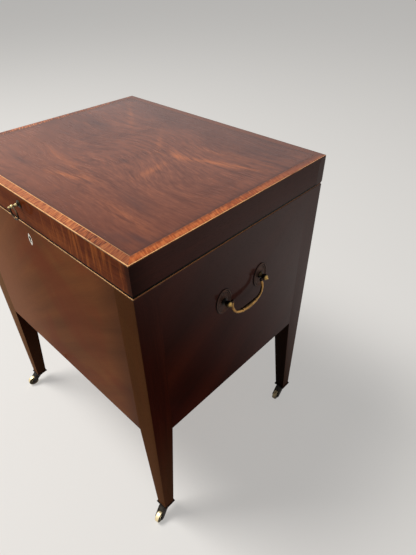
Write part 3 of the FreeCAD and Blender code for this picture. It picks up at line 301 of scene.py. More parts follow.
@dataclass(frozen=True)
class Wash:
    """A change of tone that grows along a direction, by a point's place or by the way its surface faces."""

    colour: Colour
    share: float
    along: tuple[float, float, float]
    start: float
    end: float
    by_facing: bool = False
    mirrored: bool = False
    only_facing: tuple[float, float, float] | None = None

    def over(self, sheet: FinishSheet, colour: Signal, patches: Signal) -> Signal:
        """Lay the wash over a colour.

        Args:
            sheet: The finish's nodes.
            colour: What lies beneath.
            patches: Cloudy noise that breaks the wash up.

        Returns:
            The washed colour.
        """
        x, y, z = sheet.facing() if self.by_facing else sheet.place()
        ruler = project((abs(x) if self.mirrored else x, y, z), self.along)
        grown = ruler.rise(self.start, self.end)
        if self.only_facing:
            grown = grown * project(sheet.facing(), self.only_facing).rise(0.3, 0.8)
        return sheet.blend(grown * (patches * 0.7 + 0.65).least(1.0) * self.share, colour, self.colour)


@dataclass(frozen=True)
class Core:
    """The part of a board that lies under the veneer, as a box; it was never coloured or polished."""

    low: tuple[float, float, float]
    high: tuple[float, float, float]
    light: Colour = tint(104, 64, 42)
    dark: Colour = tint(72, 40, 27)

    def share(self, place: tuple[Signal, Signal, Signal]) -> Signal:
        """One inside the box and nought outside it."""
        depth = None
        for part, low, high in zip(place, self.low, self.high):
            inward = (part - low).least((part - high) * -1.0)
            depth = inward if depth is None else depth.least(inward)
        return depth.rise(0.0, 0.0003)


@dataclass(frozen=True)
class Border:
    """The border of the lid's top, told by how far a point lies in from the lid's edges."""

    middle: tuple[float, float]
    half: tuple[float, float]

    def depths(self, place: tuple[Signal, Signal, Signal]) -> tuple[Signal, Signal]:
        """How far in from the nearer side, and from the nearer of front and back."""
        return self.half[0] - abs(place[0] - self.middle[0]), self.half[1] - abs(place[1] - self.middle[1])

    def on_side(self, place: tuple[Signal, Signal, Signal]) -> Signal:
        """One along the left and right sides, nought along the front and the back."""
        to_side, to_front = self.depths(place)
        return to_side.below(to_front)


@dataclass(frozen=True)
class Finish:
    """What every finish of the box has."""

    name: str

    def paint(self, sheet: FinishSheet) -> None:
        """Fill the finish's sheet with nodes."""
        raise NotImplementedError(self.name)

    def make(self) -> bpy.types.Material:
        """Build the finish as a material."""
        sheet = FinishSheet(self.name)
        self.paint(sheet)
        return sheet.material


@dataclass(frozen=True)
class Mahogany(Finish):
    """French-polished mahogany: ribbons and fibres along the grain, cloudy tone and open pores."""

    lay: Lay
    dark: Colour
    middle: Colour
    light: Colour
    cloud: Colour
    cloud_share: float = 0.5
    wander: float = 0.02
    wander_scale: float = 5.0
    ribbon_length: float = 2.2
    ribbon_width: float = 34.0
    fibre_length: float = 14.0
    fibre_width: float = 520.0
    fibre_share: float = 0.38
    pore_length: float = 160.0
    pore_width: float = 1900.0
    contrast: float = 2.1
    roughness: float = 0.42
    shine: float = 0.0
    polish: float = 0.07
    side_polish: float = 0.0
    relief_depth: float = 0.00006
    keyhole_shade: tuple[float, float, float] | None = None
    gap: float | None = None
    core: Core | None = None
    inward_shade: tuple[float, float] | None = None
    washes: tuple[Wash, ...] = ()

    def drift(self, sheet: FinishSheet, place: tuple[Signal, Signal, Signal]) -> Signal:
        """How far the grain strays sideways at each point."""
        stray = sheet.noise(sheet.vector(*place), self.wander_scale, 2.0, 0.45) - 0.5
        return stray * self.wander

    def figure(self, sheet: FinishSheet, place: tuple[Signal, Signal, Signal], colour: Signal,
               ribbons: Signal, fibres: Signal) -> Signal:
        """Marks that only some leaves of veneer have; a plain leaf has none."""
        return colour

    def paint(self, sheet: FinishSheet) -> None:
        """Lay the ribbons, clouds, fibres and pores under the polish."""
        place = sheet.place()
        along_axis, across_axis, through_axis = self.lay.value
        along = project(place, along_axis)
        across = project(place, across_axis) + self.drift(sheet, place)
        through = project(place, through_axis)

        def streaks(length: float, width: float, detail: float, rough: float = 0.5) -> Signal:
            """Noise drawn out along the grain."""
            where = sheet.vector(along * length, across * width, through * width)
            return sheet.noise(where, 1.0, detail, rough)

        ribbons = streaks(self.ribbon_length, self.ribbon_width, 2.5)
        fibres = streaks(self.fibre_length, self.fibre_width, 2.0, 0.6)
        pores = streaks(self.pore_length, self.pore_width, 0.0).rise(0.62, 0.74)
        clouds = sheet.noise(sheet.vector(*place), 6.5, 3.0, 0.55, 0.6)
        grain = ribbons * (1.0 - self.fibre_share) + fibres * self.fibre_share
        tone = (grain - 0.5) * self.contrast + 0.5
        colour = sheet.ramp(tone, [(0.12, self.dark), (0.5, self.middle), (0.9, self.light)])
        colour = sheet.blend(clouds.rise(0.42, 0.68) * self.cloud_share, colour, self.cloud)
        for wash in self.washes:
            colour = wash.over(sheet, colour, clouds)
        colour = self.figure(sheet, place, colour, ribbons, fibres)
        colour = sheet.blend(pores * 0.3, colour, self.dark)
        # Painted shade: a near-black patch behind the keyhole, so that the hole reads dark.
        if self.keyhole_shade:
            across_hole = (place[0] - self.keyhole_shade[0]) / self.keyhole_shade[2]
            up_hole = (place[2] - self.keyhole_shade[1]) / (self.keyhole_shade[2] * 1.6)
            keyhole_dark = (across_hole * across_hole + up_hole * up_hole).rise(1.0, 0.6)
            colour = sheet.blend(keyhole_dark, colour, tint(5, 3, 2))
        # Painted shadow: upright faces just above the lid's lower edge go near black, standing in for the shadow in the
        # gap between lid and carcase.
        if self.gap is not None:
            upright = 1.0 - abs(sheet.facing()[2]).rise(0.5, 0.8)
            colour = sheet.blend(place[2].rise(self.gap + 0.0046, self.gap + 0.002) * upright, colour,
                                 tint(5, 3, 2))
        # Painted shade: faces that look inwards, under the box, are darkened near black.
        if self.inward_shade:
            facing = sheet.facing()
            for axis, reach, share in ((0, 0.25, self.inward_shade[0]), (1, 0.2, self.inward_shade[1])):
                inward = (facing[axis] * place[axis] / -reach).rise(0.4, 0.7)
                colour = sheet.blend(inward * share, colour, tint(6, 3, 2))
        polish = self.polish
        if self.side_polish:
            kept = project(place, (0.0, 0.8, 0.6)).rise(0.12, 0.46) * abs(sheet.facing()[0])
            polish = kept * self.side_polish + self.polish
        if self.core:
            bare = self.core.share(place)
            colour = sheet.blend(bare, colour, sheet.ramp(tone, [(0.2, self.core.dark), (0.8, self.core.light)]))
            polish = (1.0 - bare) * polish
        sheet.surface(
            Base_Color=colour,
            Roughness=(clouds - 0.5) * 0.2 + fibres * 0.08 + (self.roughness - 0.04),
            Specular_IOR_Level=self.shine,
            Coat_Weight=polish,
            Coat_Roughness=0.12,
            Normal=sheet.relief(fibres * 0.5 - pores, self.relief_depth, 0.6),
        )


@dataclass(frozen=True)
class Mark:
    """A soft-edged patch of figure in a leaf of veneer, in millimetres from the leaf's middle."""

    x: float
    y: float
    reach: float
    girth: float
    slope: float
    share: float


@dataclass(frozen=True)
class CurlVeneer(Mahogany):
    """The lid's leaf: grain that bows round a curl, orange flames, smoky patches and a grimy border."""

    middle_point: tuple[float, float] = (0.0, 0.0)
    half_size: tuple[float, float] = (0.25, 0.2)
    curls: tuple[tuple[float, float, float, float, float], ...] = ()
    flames: tuple[Mark, ...] = ()
    smoke: tuple[Mark, ...] = ()
    flame: Colour = tint(178, 104, 66)
    smoky: Colour = tint(74, 50, 48)
    grime: Colour = tint(70, 44, 40)
    grime_reach: float = 0.006

    def drift(self, sheet: FinishSheet, place: tuple[Signal, Signal, Signal]) -> Signal:
        """Bow the grain round each curl, besides its general straying."""
        total = super().drift(sheet, place)
        for x, y, reach, girth, height in self.curls:
            across = (place[0] - (self.middle_point[0] + x * MM)) / (reach * MM)
            deep = (place[1] - (self.middle_point[1] + y * MM)) / (girth * MM)
            total = total + (across * across + deep * deep).decay() * (height * MM)
        return total

    def spread(self, place: tuple[Signal, Signal, Signal], marks: Sequence[Mark]) -> Signal:
        """Where a set of marks shows, from nought to one."""
        total = None
        for mark in marks:
            cosine = math.cos(math.radians(mark.slope))
            sine = math.sin(math.radians(mark.slope))
            x = place[0] - (self.middle_point[0] + mark.x * MM)
            y = place[1] - (self.middle_point[1] + mark.y * MM)
            along = (x * cosine + y * sine) / (mark.reach * MM)
            across = (y * cosine - x * sine) / (mark.girth * MM)
            spot = (along * along + across * across).decay() * mark.share
            total = spot if total is None else total + spot
        return total

    def figure(self, sheet: FinishSheet, place: tuple[Signal, Signal, Signal], colour: Signal,
               ribbons: Signal, fibres: Signal) -> Signal:
        """Lay the flames, the smoke and the grime that gathers along the border."""
        mottle = sheet.noise(sheet.vector(place[0], place[1] * 1.6, place[2]), 30.0, 4.0, 0.65, 0.9)
        colour = sheet.blend(mottle.rise(0.52, 0.74) * 0.45, colour, self.dark)
        colour = sheet.blend((1.0 - mottle).rise(0.54, 0.76) * 0.35, colour, self.light)
        smoke = self.spread(place, self.smoke) * ((1.0 - ribbons).rise(0.35, 0.65) * 0.6 + fibres * 0.6)
        colour = sheet.blend(smoke, colour, self.smoky)
        flames = self.spread(place, self.flames) * (ribbons.rise(0.4, 0.6) * 0.6 + fibres.rise(0.35, 0.65) * 0.6)
        colour = sheet.blend(flames, colour, self.flame)
        edge_x = self.half_size[0] - abs(place[0] - self.middle_point[0])
        edge_y = self.half_size[1] - abs(place[1] - self.middle_point[1])
        border = (edge_x.least(edge_y).most(0.0) / self.grime_reach).decay()
        return sheet.blend(border * 0.62, colour, self.grime)


@dataclass(frozen=True)
class FlameRail(Mahogany):
    """The lid's front edge: dark at its left end, with upright flames towards the right."""

    flame: Colour = tint(186, 104, 46)
    flame_from: float = 0.02
    flame_full: float = 0.17

    def figure(self, sheet: FinishSheet, place: tuple[Signal, Signal, Signal], colour: Signal,
               ribbons: Signal, fibres: Signal) -> Signal:
        """Lay slightly bowed upright flames that grow from left to right."""
        lift = place[2] - 0.65
        bow = lift * lift * 2.0
        wide = sheet.noise(sheet.vector((place[0] + bow) * 48.0, place[1] * 30.0, place[2] * 12.0), 1.0, 2.0, 0.5, 0.8)
        fine = sheet.noise(sheet.vector((place[0] + bow) * 190.0, place[1] * 30.0, place[2] * 20.0), 1.0, 2.0, 0.5, 0.4)
        flames = (wide * 0.4 + fine * 0.6).rise(0.46, 0.66)
        share = place[0].rise(self.flame_from, self.flame_full) * 0.5 + 0.08
        share = share * (1.0 - place[0].rise(self.flame_full + 0.075, self.flame_full + 0.095))
        return sheet.blend(flames * share, colour, self.flame)


@dataclass(frozen=True)
class Crossband(Finish):
    """Crossbanding: short fibres straight across the band, and a tone for each leaf of it."""

    border: Border
    dark: Colour = tint(92, 42, 22)
    middle: Colour = tint(180, 98, 54)
    light: Colour = tint(226, 142, 84)
    ripe: Colour = tint(178, 84, 26)
    red: Colour = tint(116, 50, 30)
    tick_width: float = 560.0
    corner: Colour = tint(104, 54, 36)
    veneer: Colour = tint(98, 60, 50)
    tick_length: float = 50.0

    def paint(self, sheet: FinishSheet) -> None:
        """Turn the fibres with each side of the lid, and shade leaf by leaf."""
        x, y, z = sheet.place()
        to_side, to_front = self.border.depths((x, y, z))
        on_side = self.border.on_side((x, y, z))
        skew = 0.35
        run = on_side * (y + x * skew) + (1.0 - on_side) * (x + y * skew)
        deep = on_side * x + (1.0 - on_side) * y
        pace = (1.0 - on_side * 0.42) * self.tick_width
        ticks = sheet.noise(sheet.vector(run * pace, deep * self.tick_length, z * 60.0), 1.0, 1.5, 0.55)
        bars = sheet.noise(sheet.vector(run * 150.0, deep * 20.0, 0.0), 1.0, 2.0, 0.5)
        leaf = sheet.node("ShaderNodeAttribute", {"attribute_name": CrossbandLeaves.TONE})
        leaf_tone = Signal(sheet, leaf.outputs["Fac"])
        tone = ticks * 0.72 + bars * 0.28 + (leaf_tone - 0.5) * 0.16
        tone = (tone - 0.5) * (on_side * 2.0 + 3.2) + 0.5
        colour = sheet.ramp(tone, [(0.08, self.dark), (0.5, self.middle), (0.92, self.light)])
        colour = sheet.blend(leaf_tone.rise(0.45, 1.0) * 0.4, colour, self.red)
        colour = sheet.blend(on_side * x.rise(0.0, 0.1) * 0.6, colour, self.ripe)
        colour = sheet.blend((1.0 - on_side) * x.rise(0.12, 0.26) * 0.5, colour, self.corner)
        colour = sheet.blend(y.rise(-0.1, 0.2) * 0.5, colour, self.corner)
        colour = sheet.blend((1.0 - on_side) * y.rise(0.0, 0.1) * 0.8, colour, self.veneer)
        inner = to_side.least(to_front).rise(0.0015, 0.0085)
        colour = sheet.blend(on_side * y.rise(0.08, 0.22) * inner * 0.8, colour, self.veneer)
        colour = sheet.blend(on_side * to_side.rise(0.0085, 0.012) * bars.rise(0.3, 0.6) * 0.7, colour, self.dark)
        rim = (to_side.least(to_front) - 0.0016).most(0.0)
        colour = sheet.blend((rim / 0.0007).decay() * 0.5, colour, self.dark)
        sheet.surface(
            Base_Color=colour,
            Roughness=0.26 + ticks * 0.1,
            Specular_IOR_Level=0.12,
            Normal=sheet.relief(ticks, 0.00004, 0.5),
        )


@dataclass(frozen=True)
class Boxwood(Finish):
    """Boxwood stringing: close, pale and yellowed, with darker spots where the polish has gathered."""

    pale: Colour = tint(255, 196, 132)
    amber: Colour = tint(206, 118, 58)
    dirt: Colour = tint(84, 42, 22)
    seam: Colour = tint(34, 16, 10)
    shaded: Colour = tint(150, 70, 38)
    sunk: Colour = tint(86, 50, 40)
    border: Border | None = None
    sunk_side: float = 0.0
    sunk_back: float = 0.0
    sunk_corner: float = 0.0
    far_side_dark: float = 0.0
    clean_from: float = 0.0
    clean_to: float = 1.0
    amber_share: float = 0.5
    dirt_share: float = 0.6

    def paint(self, sheet: FinishSheet) -> None:
        """Mottle the wood softly, and let dirt into it here and there and all along its seams."""
        place = sheet.place()
        where = sheet.vector(*place)
        mottle = sheet.noise(where, 90.0, 3.0, 0.6)
        patches = sheet.noise(where, 16.0, 2.0, 0.5)
        colour = sheet.blend(mottle.rise(0.35, 0.75) * self.amber_share, self.pale, self.amber)
        colour = sheet.blend(patches.rise(0.56, 0.74) * self.dirt_share, colour, self.dirt)
        side = abs(sheet.facing()[0]).rise(0.55, 0.8)
        colour = sheet.blend(place[1].rise(-0.05, 0.2) * 0.4, colour, self.shaded)
        colour = sheet.blend(side * 0.8, colour, self.shaded)
        # The line's side faces darken towards the back by this share.
        colour = sheet.blend(side * place[1].rise(-0.12, 0.1) * self.far_side_dark, colour, self.seam)
        if self.border:
            on_side = self.border.on_side(place)
            colour = sheet.blend(on_side * self.sunk_side, colour, self.sunk)
            colour = sheet.blend((1.0 - on_side) * place[1].rise(0.0, 0.1) * self.sunk_back, colour, self.sunk)
            colour = sheet.blend(place[0].rise(0.18, 0.245) * self.sunk_corner, colour, self.sunk)
        off = (place[2] - self.clean_to).most(self.clean_from - place[2]).rise(-0.0001, 0.0002)
        colour = sheet.blend(off * 0.85, colour, self.seam)
        sheet.surface(
            Base_Color=colour,
            Roughness=0.28 + mottle * 0.12,
            Specular_IOR_Level=0.15,
            Normal=sheet.relief(mottle, 0.00003, 0.4),
        )


@dataclass(frozen=True)
class OldBrass(Finish):
    """Cast brass, toned dark in its hollows, rubbed golden where hands reach it, and painted lighter on faces that look
    up, as light from above falls on them.
    """

    bright: Colour
    toned: Colour
    black: Colour
    rub: float
    outward: float = 0.3
    upward: float = 0.25
    roughness: float = 0.34
    washes: tuple[Wash, ...] = ()

    def paint(self, sheet: FinishSheet) -> None:
        """Mix rubbed metal with two depths of patina, and lay the finish's washes over it."""
        where = sheet.vector(*sheet.place())
        face = sheet.facing()
        grain = sheet.noise(where, 420.0, 3.0, 0.65)
        blotch = sheet.noise(where, 95.0, 3.0, 0.55)
        # Wear and painted light: faces that look outward are rubbed by hands, and faces that look up are lightened as
        # light from above falls on them.
        reach = abs(face[0]).most(abs(face[1])) * self.outward + face[2] * self.upward
        rubbed = (reach + blotch * 0.8 + grain * 0.3 + (self.rub - 0.95)).rise(0.0, 0.55)
        colour = sheet.blend(rubbed, self.toned, self.bright)
        pits = (blotch * 0.6 + grain * 0.5).rise(0.6, 0.78) * (1.0 - rubbed * 0.6)
        colour = sheet.blend(pits, colour, self.black)
        for wash in self.washes:
            colour = wash.over(sheet, colour, blotch)
        sheet.surface(
            Base_Color=colour,
            Metallic=1.0 - pits * 0.6 - (1.0 - rubbed) * 0.25,
            Roughness=self.roughness + (1.0 - rubbed) * 0.22 + grain * 0.1,
            Normal=sheet.relief(grain - pits * 0.7, 0.00006, 0.5),
        )


@dataclass(frozen=True)
class Bone(Finish):
    """Polished bone: cream, with fine darker fibres, a little grime, and painted shade on the keyhole's walls and the
    plate's edges.
    """

    cream: Colour = tint(255, 246, 228)
    fibre: Colour = tint(232, 208, 170)
    grime: Colour = tint(150, 116, 84)
    wall_shade: Colour = tint(22, 15, 10)

    def paint(self, sheet: FinishSheet) -> None:
        """Draw the fibres upright, spread a little grime, and paint shade on the faces that do not look forward or
        back.
        """
        x, y, z = sheet.place()
        fibres = sheet.noise(sheet.vector(x * 2600.0, y * 900.0, z * 240.0), 1.0, 2.0, 0.6)
        spots = sheet.noise(sheet.vector(x, y, z), 520.0, 2.0, 0.5)
        colour = sheet.blend(fibres.rise(0.45, 0.75) * 0.5, self.cream, self.fibre)
        colour = sheet.blend(spots.rise(0.58, 0.8) * 0.4, colour, self.grime)
        # Painted shade: faces that do not look forward or back, the keyhole's walls and the plate's edges, go near
        # black.
        edge = (1.0 - abs(sheet.facing()[1])).rise(0.5, 0.9)
        colour = sheet.blend(edge * 0.9, colour, self.wall_shade)
        sheet.surface(
            Base_Color=colour,
            Roughness=0.3 + spots * 0.15,
            Specular_IOR_Level=0.3,
            Coat_Weight=0.6,
            Coat_Roughness=0.2,
            Normal=sheet.relief(fibres, 0.00003, 0.5),
        )


@dataclass(frozen=True)
class InnerWood(Finish):
    """Plain straight-grained wood inside the box, waxed and browned, with dust in the grain."""

    lay: Lay
    early: Colour = tint(170, 122, 78)
    late: Colour = tint(118, 74, 42)
    stain: Colour = tint(84, 54, 34)

    def paint(self, sheet: FinishSheet) -> None:
        """Draw growth rings, fibres and old stains."""
        place = sheet.place()
        along_axis, across_axis, through_axis = self.lay.value
        along = project(place, along_axis)
        bend = sheet.noise(sheet.vector(*place), 4.0, 2.0) * 0.05
        across = project(place, across_axis) + bend
        through = project(place, through_axis) + bend
        rings = sheet.noise(sheet.vector(along * 1.5, across * 90.0, through * 90.0), 1.0, 2.0, 0.4)
        fibres = sheet.noise(sheet.vector(along * 30.0, across * 900.0, through * 900.0), 1.0, 2.0, 0.6)
        stains = sheet.noise(sheet.vector(*place), 9.0, 3.0, 0.6, 0.5)
        colour = sheet.blend((rings * 0.75 + fibres * 0.25).rise(0.42, 0.62), self.early, self.late)
        colour = sheet.blend(stains.rise(0.5, 0.75) * 0.55, colour, self.stain)
        sheet.surface(
            Base_Color=colour,
            Roughness=0.55 + fibres * 0.2,
            Specular_IOR_Level=0.3,
            Normal=sheet.relief(fibres, 0.00008, 0.6),
        )


@dataclass(frozen=True)
class OldIron(Finish):
    """Iron screws, dull and browned, a little brighter where the driver has slipped."""

    bare: Colour = tint(122, 112, 100)
    brown: Colour = tint(64, 48, 38)

    def paint(self, sheet: FinishSheet) -> None:
        """Mix dull metal with brown oxide."""
        where = sheet.vector(*sheet.place())
        rust = sheet.noise(where, 340.0, 3.0, 0.6).rise(0.4, 0.65)
        scratches = sheet.noise(where, 1500.0, 1.0, 0.5)
        sheet.surface(
            Base_Color=sheet.blend(rust, self.bare, self.brown),
            Metallic=1.0 - rust * 0.7,
            Roughness=0.4 + rust * 0.3,
            Normal=sheet.relief(scratches + rust, 0.00005, 0.5),
        )


@dataclass(frozen=True)
class PaleFloor(Finish):
    """The studio's floor: it takes the box's shadow, and shows the camera a near white."""

    plaster: Colour = tint(226, 222, 216)
    glow: float = 0.42

    def paint(self, sheet: FinishSheet) -> None:
        """Mix a matt floor with a little light of its own that only camera and mirrors see."""
        rays = sheet.node("ShaderNodeLightPath")
        seen = Signal(sheet, rays.outputs["Is Camera Ray"]).most(Signal(sheet, rays.outputs["Is Glossy Ray"]))
        seen = seen.most(Signal(sheet, rays.outputs["Is Transmission Ray"]))
        matt = sheet.node("ShaderNodeBsdfDiffuse", None, {"Color": self.plaster})
        glow = sheet.node("ShaderNodeEmission", None, {"Color": tint(250, 248, 245), "Strength": 1.0})
        mixed = sheet.node(
            "ShaderNodeMixShader",
            None,
            {
                0: seen * self.glow,
                1: Signal(sheet, matt.outputs["BSDF"]),
                2: Signal(sheet, glow.outputs["Emission"]),
            },
        )
        output = sheet.node("ShaderNodeOutputMaterial")
        sheet.tree.links.new(mixed.outputs["Shader"], output.inputs["Surface"])


class Stuff(Enum):
    """The finishes by the name of what wears them, each with the record's slot."""

    CARCASE_FRONT = "mahogany"
    CARCASE_SIDE = "mahogany:side"
    POST = "mahogany:post"
    LID_FRONT = "mahogany:lid_front"
    LID_SIDE = "mahogany:lid_side"
    LID_BACK = "mahogany:lid_back"
    LID_TOP = "mahogany_figured"
    CROSSBAND = "crossbanding"
    STRINGING = "boxwood"
    INNER_STRINGING = "boxwood:inner"
    CARCASE_STRINGING = "boxwood:carcase"
    INNER_WIDE = "pine"
    INNER_DEEP = "pine:deep"
    GRIP_BRASS = "brass:grip"
    POST_BRASS = "brass:post"
    RING_BRASS = "brass:ring"
    FORK_BRASS = "brass:fork"
    PULL_BRASS = "brass:pull"
    CASTOR_BRASS = "brass:castor"
    FITTING_BRASS = "brass"
    PLATE_BRASS = "brass_dark"
    BONE = "bone"
    IRON = "iron"

    @property
    def slot(self) -> str:
        """The record's material slot."""
        return self.value.split(":")[0]


@dataclass(frozen=True)
class LidPlan:
    """Where the lid's top lies, read from the frame, in metres."""

    half_x: float
    half_y: float
    centre_x: float
    centre_y: float
    top: float

    @classmethod
    def read(cls) -> "LidPlan":
        """Measure the outer boxwood line of the lid."""
        low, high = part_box("lid_edge_lines")
        return cls(
            half_x=(high.x - low.x) / 2,
            half_y=(high.y - low.y) / 2,
            centre_x=(high.x + low.x) / 2,
            centre_y=(high.y + low.y) / 2,
            top=high.z,
        )


